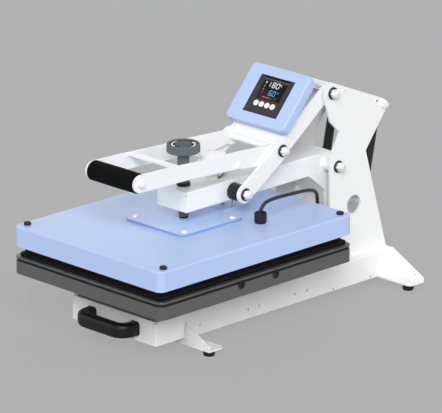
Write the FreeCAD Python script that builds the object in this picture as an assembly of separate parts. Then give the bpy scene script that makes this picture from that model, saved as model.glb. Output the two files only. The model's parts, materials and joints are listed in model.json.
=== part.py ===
"""Clamshell heat press: each sub-part is drawn about the spindle axis and written to its own STEP file.

X is across the press, Y runs from the grip at the front to the side plates at the back, Z is up from
the ground. The press is drawn closed, with its drawer pushed in. Sizes are in millimetres.
"""
import FreeCAD
import Part
import math
import os

V = FreeCAD.Vector

# Driving sizes: the platens and their heights
COVER_HALF_X = 200.0
COVER_HALF_Y = 253.0
TRAY_HALF_X = 201.0
TRAY_Z = (117.0, 142.0)
FRAME_Z = (134.0, 147.0)
LOWER_PLATE_Z = (147.0, 151.0)
PAD_Z = (151.0, 157.0)
HEAT_PLATE_Z = (158.0, 174.0)
COVER_Z = (171.0, 210.0)
SHEET = 2.0
PLATEN_CORNER = 16.0

# Driving sizes: the frame
BASE_HALF_X = 94.5
BASE_Z = (17.0, 66.5)
BASE_Y = (-106.0, 478.0)
WEB = 3.0
FOOT_HALF_X = 177.0
FOOT_CENTRE_X = 156.0
FEET_Y = (-86.0, 456.0)
PLATE_X = (68.5, 73.5)
HANDLE_X = (61.0, 66.0)
LINK_X = (67.5, 73.5)
SPACER_END_X = 67.0
WASHER_X = (73.5, 76.0)
BOLT_X = (76.0, 82.0)
BOLT_TIP_X = 88.5
LUG_X = (40.0, 45.0)
SPRING_X = 55.0

# Pivot centres as (Y, Z)
LEVER_PIVOT = (326.0, 406.5)
LINK_TOP_PIVOT = (190.2, 321.0)
LINK_FOOT_PIVOT = (91.2, 256.0)
BEAM_PIVOT = (342.6, 256.6)
SPRING_TOP_PIN = (468.0, 356.0)
SPRING_FOOT_PIN = (432.0, 182.0)
WASHER_RADIUS = 12.0
BOLT_RADIUS = 9.5
PIVOT_RADIUS = 6.0

# The beam, the spindle and the knob
BEAM_HALF_X = 40.0
BEAM_Y = (-30.0, 358.0)
BEAM_Z = (238.0, 278.0)
BEAM_WALL = 3.0
SPINDLE_RADIUS = 10.0
NUT_RADIUS = 12.0
RUNNING_GAP = 0.05
KNOB_RADIUS = 32.0
KNOB_Z = (344.0, 361.0)
KNOB_FLUTES = 40
MAGNET_Y = 78.0
MAGNET_RADIUS = 25.0
MAGNET_Z = (290.0, 309.0)
ARMATURE_Z = (309.5, 323.0)
MAGNET_WIRE_Y = 148.0
GUIDE_Y = 118.0
GUIDE_X = 14.0
MOUNT_TOP = 214.7
MOUNT_SCREW = (67.0, 63.0)
MOUNT_SCREW_HOLE = 3.1
CORNER_CAP_X = 184.0
CORNER_CAP_Y = (-230.0, 234.0)
GRIP = (-173.5, 332.5)
GRIP_RADIUS = 19.6

# The control box stands on its lower front edge and leans back, as (Y, Z)
BOX_LOW = (183.5, 360.0)
BOX_HIGH = (264.5, 453.0)
BOX_HALF_X = 78.0
BOX_DEPTH = 20.0
PANEL_MIDDLE_X = 2.4
PANEL_HALF_X = 44.6
PANEL_SPAN = (22.0, 102.2)
BUTTON_SPAN = 42.8
BUTTON_X = (-19.0, -4.5, 10.1, 24.6)
BUTTON_RADIUS = 6.0

# The lead from the beam's tail to the platen: corners of its route, and its size
LEAD_RADIUS = 3.5
LEAD_ROUTE = [
    V(115, 90, 224), V(115, 90, 234), V(115.3, 95.5, 242.5), V(115.6, 105, 248.2), V(115.5, 126, 250.4),
    V(113, 169, 248), V(105.5, 213, 243.1), V(98.5, 245, 237.2), V(90.5, 267, 225), V(83.5, 276, 204),
    V(75, 286, 180), V(66, 297, 160), V(58, 311, 150), V(53, 324, 152), V(53, 337, 152),
]

# The footprint's middle, measured from the spindle axis
MIDDLE_Y = 115.4


def box(x, y, z):
    """A box between two values on each axis."""
    return Part.makeBox(x[1] - x[0], y[1] - y[0], z[1] - z[0], V(x[0], y[0], z[0]))


def post(x, y, z, radius):
    """An upright cylinder."""
    return Part.makeCylinder(radius, z[1] - z[0], V(x, y, z[0]), V(0, 0, 1))


def pin(x, centre, radius):
    """A cylinder along X about a (Y, Z) centre."""
    return Part.makeCylinder(radius, x[1] - x[0], V(x[0], centre[0], centre[1]), V(1, 0, 0))


def hexagon(x, centre, radius):
    """A hexagonal head along X, with rounded outer corners."""
    points = [V(x[0], centre[0] + radius * math.cos(math.radians(60 * i)),
                centre[1] + radius * math.sin(math.radians(60 * i))) for i in range(7)]
    prism = Part.Face(Part.makePolygon(points)).extrude(V(x[1] - x[0], 0, 0))
    cone = Part.makeCone(radius + 0.2, radius * 0.8, x[1] - x[0], V(x[0], centre[0], centre[1]), V(1, 0, 0))
    return prism.common(cone)


def mirror(shape):
    """The same piece on the other side of the press."""
    return shape.mirror(V(0, 0, 0), V(1, 0, 0))


def both(shape):
    """A piece and its mirror image, as two solids."""
    return [shape, mirror(shape)]


def outline(corners, place):
    """A closed face through (a, b, radius) corners, each rounded by its own radius."""
    edges = []
    count = len(corners)
    ends = []
    for i, (a, b, radius) in enumerate(corners):
        here = V(a, b, 0)
        before = V(corners[i - 1][0], corners[i - 1][1], 0) - here
        after = V(corners[(i + 1) % count][0], corners[(i + 1) % count][1], 0) - here
        if radius == 0:
            ends.append((here, here, None))
            continue
        half = before.getAngle(after) / 2
        before.normalize()
        after.normalize()
        reach = radius / math.tan(half)
        bisector = (before + after).normalize()
        middle = here + bisector * (radius / math.sin(half) - radius)
        ends.append((here + before * reach, here + after * reach, middle))
    for i, (start, end, middle) in enumerate(ends):
        if middle is not None:
            edges.append(Part.Arc(place(start), place(middle), place(end)).toShape())
        following = ends[(i + 1) % count][0]
        if (following - end).Length > 1e-6:
            edges.append(Part.LineSegment(place(end), place(following)).toShape())
    return Part.Face(Part.Wire(Part.__sortEdges__(edges)))


def side_profile(corners, x):
    """A plate standing along Y and Z, between two X values."""
    face = outline(corners, lambda p: V(x[0], p.x, p.y))
    return face.extrude(V(x[1] - x[0], 0, 0))


def end_profile(corners, y):
    """A plate standing along X and Z, between two Y values."""
    face = outline(corners, lambda p: V(p.x, y[0], p.y))
    return face.extrude(V(0, y[1] - y[0], 0))


def slab(half_x, half_y, z, radius, middle_y=0.0):
    """A flat plate with rounded corners."""
    corners = [(-half_x, middle_y - half_y, radius), (half_x, middle_y - half_y, radius),
               (half_x, middle_y + half_y, radius), (-half_x, middle_y + half_y, radius)]
    return outline(corners, lambda p: V(p.x, p.y, z[0])).extrude(V(0, 0, z[1] - z[0]))


def dome_screw(x, y, z, radius, height, shank):
    """A round-headed screw standing on z, with its shank below."""
    head = post(x, y, (z, z + height), radius)
    head = head.makeFillet(height * 0.6, [e for e in head.Edges if e.BoundBox.ZMin > z + height - 0.01])
    return head.fuse(post(x, y, (z - shank, z), radius * 0.5))


def edges_at(shape, test):
    """The edges whose box passes the test."""
    return [e for e in shape.Edges if test(e.BoundBox)]


def tube_along(points, radius):
    """A tube on straight runs joined by tangent arcs, each as large as its two runs allow."""
    edges = []
    start = points[0]
    for before, here, after in zip(points, points[1:], points[2:]):
        back = before - here
        on = after - here
        turn = math.pi - back.getAngle(on)
        reach = 0.45 * min(back.Length, on.Length)
        bend = reach / math.tan(turn / 2)
        print(f"lead bend {bend:.1f} mm, turn {math.degrees(turn):.0f} degrees")
        back.normalize()
        on.normalize()
        middle = here + (back + on).normalize() * (bend / math.cos(turn / 2) - bend)
        edges.append(Part.LineSegment(start, here + back * reach).toShape())
        edges.append(Part.Arc(here + back * reach, middle, here + on * reach).toShape())
        start = here + on * reach
    edges.append(Part.LineSegment(start, points[-1]).toShape())
    path = Part.Wire(edges)
    ring = Part.Wire(Part.makeCircle(radius, points[0], points[1] - points[0]))
    tube = path.makePipeShell([ring], True, False)
    print(f"lead {path.Length:.1f} mm, volume ratio {tube.Volume / (math.pi * radius**2 * path.Length):.4f}")
    return tube


def base_channel():
    """The long inverted channel, with its row of small holes on each side."""
    y = (BASE_Y[0] + WEB, BASE_Y[1] - WEB)
    outer = box((-BASE_HALF_X, BASE_HALF_X), y, BASE_Z)
    top_edges = edges_at(outer, lambda b: b.ZMin > BASE_Z[1] - 0.1 and b.YLength > 100)
    outer = outer.makeFillet(3.0, top_edges)
    inner = box((-BASE_HALF_X + SHEET, BASE_HALF_X - SHEET), y, (BASE_Z[0], BASE_Z[1] - SHEET))
    shell = outer.cut(inner)
    holes = ((-50, 35), (77.5, 35), (108.5, 35), (205, 35), (238, 35), (311, 20.5), (414.5, 20.5))
    for y_hole, z_hole in holes:
        shell = shell.cut(pin((-BASE_HALF_X - 1, BASE_HALF_X + 1), (y_hole, z_hole), 2.5))
    return [shell]


def crossmember(web_y, flange_y):
    """A folded cross rail: a shaped web that closes the channel's end, and a flange over the feet."""
    low = BASE_Z[0] - WEB
    corners = [(-FOOT_HALF_X, low, 0), (FOOT_HALF_X, low, 0), (FOOT_HALF_X, 24, 6),
               (BASE_HALF_X, BASE_Z[1], 4), (-BASE_HALF_X, BASE_Z[1], 4), (-FOOT_HALF_X, 24, 6)]
    web = end_profile(corners, web_y)
    flange = box((-FOOT_HALF_X, FOOT_HALF_X), flange_y, (low, BASE_Z[0]))
    tips = edges_at(flange, lambda b: b.ZLength > WEB - 0.1 and abs(b.YMin - far_end(flange_y, web_y)) < 0.1)
    rail = web.fuse(flange.makeFillet(10.0, tips)).removeSplitter()
    for x in (-FOOT_CENTRE_X, FOOT_CENTRE_X):
        rail = rail.cut(pin_along_y(x, BASE_Z[0] + 8, web_y, 2.2))
    return [rail]


def far_end(flange_y, web_y):
    """The end of the flange that is further from the web."""
    return max(flange_y, key=lambda y: abs(y - web_y[0]))


def pin_along_y(x, z, y, radius):
    """A cylinder along Y, a little longer than the span it goes through."""
    return Part.makeCylinder(radius, y[1] - y[0] + 2, V(x, y[0] - 1, z), V(0, 1, 0))


def rubber_feet():
    """Four feet, each with a stem up into the cross rail's flange."""
    feet = []
    top = BASE_Z[0] - WEB
    for x in (-FOOT_CENTRE_X, FOOT_CENTRE_X):
        for y in FEET_Y:
            foot = Part.makeCone(10.5, 12.0, top, V(x, y, 0), V(0, 0, 1))
            feet.append(foot)
    return feet


def side_plates():
    """The two tall plates that carry both pivots and the gas springs."""
    corners = [
        (321.5, BASE_Z[1], 0), (321.5, 277, 12), (347.5, 323.3, 3), (321.0, 349, 10), (304.8, 400, 0),
        (312.5, 427.2, 0), (325.0, 427.4, 0), (468.5, 367.4, 14), (486.6, 351.5, 4), (474.5, 344.2, 5),
        (419.5, 272.5, 4), (479.1, BASE_Z[1], 0),
    ]
    plate = side_profile(corners, PLATE_X).fuse(pin(PLATE_X, (321.5, 409.4), 18.0))
    plate = plate.removeSplitter()
    for centre, radius in ((LEVER_PIVOT, PIVOT_RADIUS), (BEAM_PIVOT, PIVOT_RADIUS), (SPRING_TOP_PIN, 4.0),
                           ((387.5, 170.2), 18.9), ((355.7, 406.0), 2.5), ((447.5, 367.0), 2.5)):
        plate = plate.cut(pin((PLATE_X[0] - 1, PLATE_X[1] + 1), centre, radius))
    foot = box((PLATE_X[0] - 14, PLATE_X[0]), (345, 470), (BASE_Z[1], BASE_Z[1] + 2.5))
    return both(plate.fuse(foot).removeSplitter())


def top_cross_cover():
    """The sloping cover between the side plates, with a lip at its front."""
    drop = 0.4185
    y = (344.0, 461.0)
    z = (418.5, 418.5 - drop * (y[1] - y[0]))
    thick = 2.0
    corners = [(y[0], z[0] - 11.5, 0), (y[0] + thick, z[0] - 11.5, 0), (y[0] + thick, z[0] - thick * 1.6, 0),
               (y[1], z[1] - thick, 0), (y[1], z[1], 0), (y[0], z[0], 1.5)]
    return [side_profile(corners, (-PLATE_X[0], PLATE_X[0]))]


def frame_screws():
    """The small screws through the side plates into the cover and the housing."""
    screws = []
    for centre in ((355.7, 406.0), (447.5, 367.0)):
        head = pin((PLATE_X[1], PLATE_X[1] + 1.6), centre, 3.2)
        stem = pin((PLATE_X[0], PLATE_X[1]), centre, 2.5)
        screws += both(head.fuse(stem).removeSplitter())
    return screws


def rear_housing():
    """The wiring box behind the side plates, with its upright panel."""
    outer = box((-66, 66), (352, 458), (BASE_Z[1] + 2.5, 112))
    inner = box((-64.5, 64.5), (353.5, 458), (BASE_Z[1] + 4, 110.5))
    panel = box((-66, 66), (456, 458), (BASE_Z[1] + 2.5, 146))
    shell = outer.cut(inner).fuse(panel).removeSplitter()
    shell = shell.cut(box((-40, -6), (455, 459), (78, 106)))
    return [shell.cut(box((18, 44), (455, 459), (84, 104)))]


def power_inlet():
    """The mains socket, and the frame of the rocker switch beside it."""
    body = box((-40, -6), (440, 458), (78, 106))
    rim = box((-43, -3), (458, 460.5), (75, 109))
    rim = rim.makeFillet(3.0, edges_at(rim, lambda b: b.YLength > 2.4))
    socket = box((-34, -12), (444, 461), (84, 100))
    inlet = body.fuse(rim).removeSplitter().cut(socket)
    for x in (-29, -23, -17):
        inlet = inlet.fuse(box((x - 1, x + 1), (444, 455), (90, 94)))
    frame = box((18, 44), (446, 458), (84, 104)).fuse(box((16, 46), (458, 460), (82, 106)))
    frame = frame.removeSplitter().cut(box((20, 42), (447, 461), (86, 102)))
    return [inlet, frame]


def rocker_switch():
    """The rocker, with its upper half standing out."""
    rocker = side_profile([(450, 89.5, 0), (459.7, 89.0, 1), (461.0, 99.0, 1), (450, 98.5, 0)], (21, 41))
    return [rocker]


def pivot_shafts():
    """The lever shaft, the beam shaft and the two upper pins of the gas springs."""
    lever = pin((-PLATE_X[1], PLATE_X[1]), LEVER_PIVOT, PIVOT_RADIUS)
    beam = pin((-PLATE_X[1], PLATE_X[1]), BEAM_PIVOT, PIVOT_RADIUS)
    top = pin((SPRING_X - 8, PLATE_X[1]), SPRING_TOP_PIN, 4.0)
    head = hexagon((PLATE_X[1], PLATE_X[1] + 4), SPRING_TOP_PIN, 6.5)
    return [lever, beam] + both(top.fuse(head).removeSplitter())


def washer(x, centre):
    """A plain washer under a pivot bolt."""
    return pin(x, centre, WASHER_RADIUS).cut(pin((x[0] - 1, x[1] + 1), centre, PIVOT_RADIUS))


def pivot_bolt(centre, inner):
    """A domed hexagonal head, and the shank that reaches in through the washer."""
    dome = pin((BOLT_X[1], BOLT_TIP_X), centre, BOLT_RADIUS - 1.3)
    dome = dome.makeFillet(5.0, edges_at(dome, lambda b: b.XMin > BOLT_TIP_X - 0.1))
    shank = pin((inner, BOLT_X[0]), centre, PIVOT_RADIUS)
    return hexagon(BOLT_X, centre, BOLT_RADIUS).fuse([dome, shank]).removeSplitter()


def rail(x_web, x_lip, z, y):
    """A channel-shaped slide rail, open towards x_lip."""
    thin = 1.2
    outer = box((min(x_web, x_lip), max(x_web, x_lip)), y, z)
    if x_lip > x_web:
        hollow = box((x_web + thin, x_lip), y, (z[0] + thin, z[1] - thin))
    else:
        hollow = box((x_lip, x_web - thin), y, (z[0] + thin, z[1] - thin))
    return outer.cut(hollow)


def slide_fixed_rails():
    """The outer slide rails, each on an angle that stands on the base."""
    channel = rail(87.0, 96.5, (74.0, 109.0), (-100, 240))
    angle = box((85, 87), (-90, 230), (BASE_Z[1], 106))
    angle = angle.fuse(box((70, 87), (-90, 230), (BASE_Z[1], BASE_Z[1] + 2)))
    return both(channel.fuse(angle).removeSplitter())


def slide_middle_rails():
    """The middle slide rails, which travel half as far as the drawer."""
    return both(rail(89.6, 96.5, (77.5, 105.5), (-135, 205)))


def slide_moving_rails():
    """The inner slide rails, fixed to the carriage."""
    return both(rail(99.0, 92.2, (81.0, 102.0), (-170, 170)))


def drawer_front():
    """The folded front of the drawer: a panel, two short sides and a top flange."""
    outer = box((-114, 114), (-183, -108.5), (29.5, 77))
    upright = edges_at(outer, lambda b: b.ZLength > 40 and b.YMax < -180)
    outer = outer.makeFillet(3.0, upright)
    inner = box((-112.3, 112.3), (-181.3, -108), (29, 75.3))
    shell = outer.cut(inner)
    for x in (-114, 114):
        shell = shell.cut(box((x - 3, x + 3), (-184, -179), (73, 78)))
    for x in (-58.5, 58.5):
        shell = shell.cut(pin_along_y(x, 53.5, (-183, -181), 3.0))
    return [shell]


def pull_handle():
    """The moulded pull: two posts joined by a bar, with wide rounded bends."""
    half, front, back = 58.5, -216.0, -183.0
    bend = 18.0
    section = outline([(-12, -14, 7), (12, -14, 7), (12, 14, 7), (-12, 14, 7)],
                      lambda p: V(half + p.x, back, 53.5 + p.y))
    turn = bend * (1 - math.sqrt(0.5))
    path = Part.Wire([
        Part.LineSegment(V(half, back, 53.5), V(half, front + bend, 53.5)).toShape(),
        Part.Arc(V(half, front + bend, 53.5), V(half - turn, front + turn, 53.5),
                 V(half - bend, front, 53.5)).toShape(),
        Part.LineSegment(V(half - bend, front, 53.5), V(-half + bend, front, 53.5)).toShape(),
        Part.Arc(V(-half + bend, front, 53.5), V(-half + turn, front + turn, 53.5),
                 V(-half, front + bend, 53.5)).toShape(),
        Part.LineSegment(V(-half, front + bend, 53.5), V(-half, back, 53.5)).toShape(),
    ])
    return [path.makePipeShell([section.OuterWire], True, False)]


def carriage_riser():
    """The raised carriage between the drawer and the tray, closed at its front."""
    outer = box((-101, 101), (-180, 250), (77, 117))
    inner = box((-99, 99), (-178, 251), (76, 115))
    return [outer.cut(inner)]


def tray_body():
    """The shallow tray of folded sheet, with two notches in each long side for the platen screws."""
    outer = slab(TRAY_HALF_X, COVER_HALF_Y, TRAY_Z, PLATEN_CORNER)
    inner_z = (TRAY_Z[0] + SHEET, TRAY_Z[1] + 1)
    inner = slab(TRAY_HALF_X - SHEET, COVER_HALF_Y - SHEET, inner_z, PLATEN_CORNER - SHEET)
    shell = outer.cut(inner)
    for y in (-45, 45):
        shell = shell.cut(pin((-TRAY_HALF_X - 1, TRAY_HALF_X + 1), (y, TRAY_Z[1]), 6.5))
    return [shell]


def platen_frame():
    """The dark insulating frame between the tray and the lower platen."""
    gap = SHEET + 0.4
    outer = slab(TRAY_HALF_X - gap, COVER_HALF_Y - gap, FRAME_Z, PLATEN_CORNER - gap)
    inner = slab(TRAY_HALF_X - 18, COVER_HALF_Y - 18, (FRAME_Z[0] - 1, FRAME_Z[1] + 1), 6)
    frame = outer.cut(inner)
    for y in (-45, 45):
        for x in ((-TRAY_HALF_X, -TRAY_HALF_X + 12), (TRAY_HALF_X - 12, TRAY_HALF_X)):
            frame = frame.cut(pin(x, (y, 139.5), 2.5))
    ribs = [box((-60, -40), (-235, 235), (TRAY_Z[0] + SHEET, FRAME_Z[1])),
            box((40, 60), (-235, 235), (TRAY_Z[0] + SHEET, FRAME_Z[1]))]
    return [frame.fuse(ribs).removeSplitter()]


def platen_lock_screws():
    """The four screws in the tray's notches, which hold the lower platen down."""
    screws = []
    for y in (-45, 45):
        head = pin((TRAY_HALF_X - 2.4, TRAY_HALF_X - 0.4), (y, 139.5), 3.4)
        stem = pin((TRAY_HALF_X - 12, TRAY_HALF_X - 2.4), (y, 139.5), 2.5)
        screws += both(head.fuse(stem).removeSplitter())
    return screws


def lower_platen():
    """The lower platen, a flat rounded plate."""
    return [slab(TRAY_HALF_X, COVER_HALF_Y, LOWER_PLATE_Z, PLATEN_CORNER)]


def silicone_pad():
    """The heat-proof pad that the work lies on."""
    return [slab(TRAY_HALF_X - 8, COVER_HALF_Y - 7, PAD_Z, 10)]


def platen_cover():
    """The shallow cover over the heat plate, open underneath."""
    outer = slab(COVER_HALF_X, COVER_HALF_Y, COVER_Z, 14)
    outer = outer.makeFillet(2.5, edges_at(outer, lambda b: b.ZMin > COVER_Z[1] - 0.1))
    inner = slab(COVER_HALF_X - 1.5, COVER_HALF_Y - 1.5, (COVER_Z[0] - 1, COVER_Z[1] - 1.5), 12.5)
    shell = outer.cut(inner).cut(post(0, 0, (COVER_Z[1] - 2, COVER_Z[1] + 1), 22.0))
    for x in (-CORNER_CAP_X, CORNER_CAP_X):
        for y in CORNER_CAP_Y:
            shell = shell.cut(post(x, y, (COVER_Z[1] - 2, COVER_Z[1] + 1), 4.0))
    for x, y in mount_screw_places():
        shell = shell.cut(post(x, y, (COVER_Z[1] - 2, COVER_Z[1] + 1), MOUNT_SCREW_HOLE))
    return [shell]


def serpentine(width, z_span):
    """The plan of the heating element: long runs joined by half rings, as cylinders or as a groove."""
    reach, pitch, runs = 175.0, 52.0, 9
    first = -pitch * (runs - 1) / 2
    rod = z_span is None
    z = HEAT_PLATE_Z[1] - 4.2
    pieces = []
    for i in range(runs):
        y = first + pitch * i
        side = 1 if i % 2 == 0 else -1
        end = reach - pitch / 2
        if rod:
            pieces.append(pin((-end, end), (y, z), width / 2))
        else:
            pieces.append(box((-end, end), (y - width / 2, y + width / 2), z_span))
        if i == runs - 1:
            continue
        centre = V(side * end, y + pitch / 2, z)
        if rod:
            ring = Part.makeTorus(pitch / 2, width / 2, centre, V(0, 0, 1))
            half = box((-pitch, pitch), (-pitch, pitch), (-width, width))
            half.translate(centre + V(side * pitch, 0, 0))
            pieces.append(ring.common(half))
        else:
            ring = post(centre.x, centre.y, z_span, (pitch + width) / 2)
            ring = ring.cut(post(centre.x, centre.y, (z_span[0] - 1, z_span[1] + 1), (pitch - width) / 2))
            half = box((-pitch, pitch), (-pitch, pitch), (-50, 50))
            half.translate(centre + V(side * pitch, 0, 0))
            pieces.append(ring.common(half))
    return pieces[0].fuse(pieces[1:]).removeSplitter()


def heat_plate():
    """The heated plate, with the groove that the element lies in."""
    plate = slab(186, 239, HEAT_PLATE_Z, 8)
    return [plate.cut(serpentine(8.4, (HEAT_PLATE_Z[1] - 8.4, HEAT_PLATE_Z[1] + 1)))]


def heating_element():
    """The tubular element, one unbroken rod that runs to and fro."""
    return [serpentine(8.0, None)]


def insulation():
    """The insulating board that fills the cover above the heat plate."""
    board = slab(196, 249, (HEAT_PLATE_Z[1], 206), 10)
    return [board.cut(post(0, 0, (HEAT_PLATE_Z[1] - 1, 207), 26))]


def mount_screw_places():
    """The places of the mount plate's four screws."""
    return [(x, y) for x in (-MOUNT_SCREW[0], MOUNT_SCREW[0]) for y in (-MOUNT_SCREW[1], MOUNT_SCREW[1])]


def mount_plate():
    """The plate on the cover, with the thrust seat of the spindle under it."""
    plate = slab(79.5, 80.5, (COVER_Z[1], MOUNT_TOP), 12)
    seat = post(0, 0, (HEAT_PLATE_Z[1], COVER_Z[1]), 21.0)
    whole = plate.fuse(seat).removeSplitter()
    whole = whole.cut(post(0, 0, (188, MOUNT_TOP + 1), 8.0 + RUNNING_GAP))
    for x, y in mount_screw_places():
        whole = whole.cut(post(x, y, (COVER_Z[1] - 1, MOUNT_TOP + 1), MOUNT_SCREW_HOLE))
    return [whole]


def mount_screws():
    """The four round-headed screws of the mount plate."""
    return [dome_screw(x, y, MOUNT_TOP, 6.2, 3.6, 8.2) for x, y in mount_screw_places()]


def corner_caps():
    """The four dark caps at the cover's corners."""
    places = [(x, y) for x in (-CORNER_CAP_X, CORNER_CAP_X) for y in CORNER_CAP_Y]
    return [dome_screw(x, y, COVER_Z[1], 7.0, 5.5, 1.5) for x, y in places]


def guide_bracket():
    """The foot and the two rods that keep the platen square to the beam."""
    foot = slab(19.5, 32, (COVER_Z[1], COVER_Z[1] + 2.5), 2, middle_y=GUIDE_Y)
    rods = [post(x, GUIDE_Y, (COVER_Z[1] + 2.5, 256), 3.0) for x in (-GUIDE_X, GUIDE_X)]
    return [foot.fuse(rods).removeSplitter()]


def lead_connector():
    """The round plug where the lead enters the cover, with a blind socket that widens at its mouth."""
    x, y = LEAD_ROUTE[0].x, LEAD_ROUTE[0].y
    plug = post(x, y, (COVER_Z[1], 230.5), 11.8).fuse(post(x, y, (230.5, 231.2), 9.0)).removeSplitter()
    plug = plug.cut(post(x, y, (COVER_Z[1] + 1.5, 233.5), LEAD_RADIUS + 0.8))
    return [plug.cut(Part.makeCone(LEAD_RADIUS + 0.8, 8.3, 12.3, V(x, y, 219.0), V(0, 0, 1)))]


def beam():
    """The box beam, closed at both ends, with its pivot sleeve and its holes."""
    outer = box((-BEAM_HALF_X, BEAM_HALF_X), BEAM_Y, BEAM_Z)
    outer = outer.makeFillet(2.5, edges_at(outer, lambda b: b.YLength > 100))
    inner = box((-BEAM_HALF_X + BEAM_WALL, BEAM_HALF_X - BEAM_WALL),
                (BEAM_Y[0] + BEAM_WALL, BEAM_Y[1] - BEAM_WALL),
                (BEAM_Z[0] + BEAM_WALL, BEAM_Z[1] - BEAM_WALL))
    tube = outer.cut(inner).fuse(pin((-PLATE_X[0] + 0.5, PLATE_X[0] - 0.5), BEAM_PIVOT, 13.0))
    tube = tube.cut(pin((-PLATE_X[0], PLATE_X[0]), BEAM_PIVOT, PIVOT_RADIUS + RUNNING_GAP))
    tube = tube.cut(post(0, 0, (BEAM_Z[0] - 1, BEAM_Z[1] + 1), NUT_RADIUS))
    tube = tube.cut(post(0, MAGNET_WIRE_Y, (BEAM_Z[1] - BEAM_WALL - 1, BEAM_Z[1] + 1), 2.0))
    for x in (-GUIDE_X, GUIDE_X):
        tube = tube.cut(post(x, GUIDE_Y, (BEAM_Z[0] - 1, BEAM_Z[0] + BEAM_WALL + 1), 3.0 + RUNNING_GAP))
    tube = tube.cut(pin((-BEAM_HALF_X - 1, BEAM_HALF_X + 1), LINK_FOOT_PIVOT, PIVOT_RADIUS))
    return [tube.removeSplitter()]


def tail_lugs():
    """The two plates on the beam's sides that reach back to the gas springs; the right one has a tab."""
    corners = [(292, 276, 3), (292, 238, 3), (350, 188, 60), (402, 163, 14), (436, 167.6, 0), (446.5, 184, 0),
               (386, 243, 40), (362, 276, 3)]
    plate = side_profile(corners, LUG_X).fuse(pin(LUG_X, SPRING_FOOT_PIN, 15.0)).removeSplitter()
    plate = plate.cut(pin((LUG_X[0] - 1, LUG_X[1] + 1), BEAM_PIVOT, 13.0))
    left = mirror(plate)
    return [plate.fuse(box(LUG_X, (337, 350), (141, 215))).removeSplitter(), left]


def link_spacers():
    """The dark spacers between the beam and the links."""
    spacer = pin((BEAM_HALF_X, SPACER_END_X), LINK_FOOT_PIVOT, 16.5)
    return both(spacer.cut(pin((BEAM_HALF_X - 1, LINK_X[0]), LINK_FOOT_PIVOT, PIVOT_RADIUS)))


def link_studs():
    """The studs in the beam that carry the spacers."""
    return both(pin((BEAM_HALF_X - 8, SPACER_END_X), LINK_FOOT_PIVOT, PIVOT_RADIUS))


def links():
    """The two straight links, each with a hole at either end."""
    rise = V(0, LINK_TOP_PIVOT[0] - LINK_FOOT_PIVOT[0], LINK_TOP_PIVOT[1] - LINK_FOOT_PIVOT[1])
    length = rise.Length
    bar = box(LINK_X, (0, length), (-18, 18)).fuse([pin(LINK_X, (0, 0), 18), pin(LINK_X, (length, 0), 18)])
    bar = bar.removeSplitter()
    bar.rotate(V(0, 0, 0), V(1, 0, 0), math.degrees(math.atan2(rise.z, rise.y)))
    bar.translate(V(0, LINK_FOOT_PIVOT[0], LINK_FOOT_PIVOT[1]))
    for centre in (LINK_FOOT_PIVOT, LINK_TOP_PIVOT):
        bar = bar.cut(pin((LINK_X[0] - 1, LINK_X[1] + 1), centre, PIVOT_RADIUS))
    return both(bar)


def link_washers():
    """The washers at the ends of the links."""
    return both(washer(WASHER_X, LINK_TOP_PIVOT)) + both(washer(WASHER_X, LINK_FOOT_PIVOT))


def link_bolts():
    """The bolts at the links' ends: the upper ones turn in the handle plates, the lower ones end flush."""
    return both(pivot_bolt(LINK_TOP_PIVOT, HANDLE_X[0])) + both(pivot_bolt(LINK_FOOT_PIVOT, LINK_X[0]))


def spindle_nut():
    """The long nut in the beam, with its collar on top."""
    body = post(0, 0, BEAM_Z, NUT_RADIUS).fuse(post(0, 0, (BEAM_Z[1], BEAM_Z[1] + 6), 13.0)).removeSplitter()
    return [body.cut(post(0, 0, (BEAM_Z[0] - 1, BEAM_Z[1] + 7), SPINDLE_RADIUS + RUNNING_GAP))]


def spindle():
    """The pressure screw: a plain foot in the thrust seat, and the threaded length above it."""
    foot = post(0, 0, (190, MOUNT_TOP + 0.5), 8.0)
    thread = post(0, 0, (MOUNT_TOP + 0.5, KNOB_Z[0] - 4), SPINDLE_RADIUS)
    return [foot.fuse(thread).removeSplitter()]


def knob():
    """The fluted knob and its hub."""
    head = post(0, 0, KNOB_Z, KNOB_RADIUS)
    head = head.makeFillet(2.0, edges_at(head, lambda b: b.ZLength < 0.1 and b.XLength > KNOB_RADIUS))
    for i in range(KNOB_FLUTES):
        turn = 2 * math.pi * i / KNOB_FLUTES
        place = (KNOB_RADIUS + 0.7)
        flute_z = (KNOB_Z[0] - 1, KNOB_Z[1] - 3)
        head = head.cut(post(place * math.cos(turn), place * math.sin(turn), flute_z, 1.7))
    head = head.cut(post(0, 0, (KNOB_Z[1] - 1.5, KNOB_Z[1] + 1), KNOB_RADIUS - 5))
    hub = post(0, 0, (BEAM_Z[1] + 6.5, KNOB_Z[0]), 11.25)
    whole = head.fuse(hub).removeSplitter()
    return [whole.cut(post(0, 0, (BEAM_Z[1] + 5, KNOB_Z[0] - 4), SPINDLE_RADIUS))]


def electromagnet():
    """The holding magnet on its boss, and its wire, which runs close over the beam and ends in a grommet."""
    boss = post(0, MAGNET_Y, (BEAM_Z[1], MAGNET_Z[0]), 12.5)
    body = post(0, MAGNET_Y, MAGNET_Z, MAGNET_RADIUS)
    line = BEAM_Z[1] + 1.5
    wire = tube_along([V(8, MAGNET_Y, line), V(14.5, MAGNET_Y + 5, line), V(6, MAGNET_Y + 22, line),
                       V(0, MAGNET_Y + 36, line), V(0, MAGNET_WIRE_Y, line)], 1.2)
    grommet = post(0, MAGNET_WIRE_Y, (BEAM_Z[1] - 2, BEAM_Z[1]), 2.0)
    grommet = grommet.fuse(post(0, MAGNET_WIRE_Y, (BEAM_Z[1], BEAM_Z[1] + 3.0), 3.2))
    return [body.fuse([boss, wire, grommet]).removeSplitter()]


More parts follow.
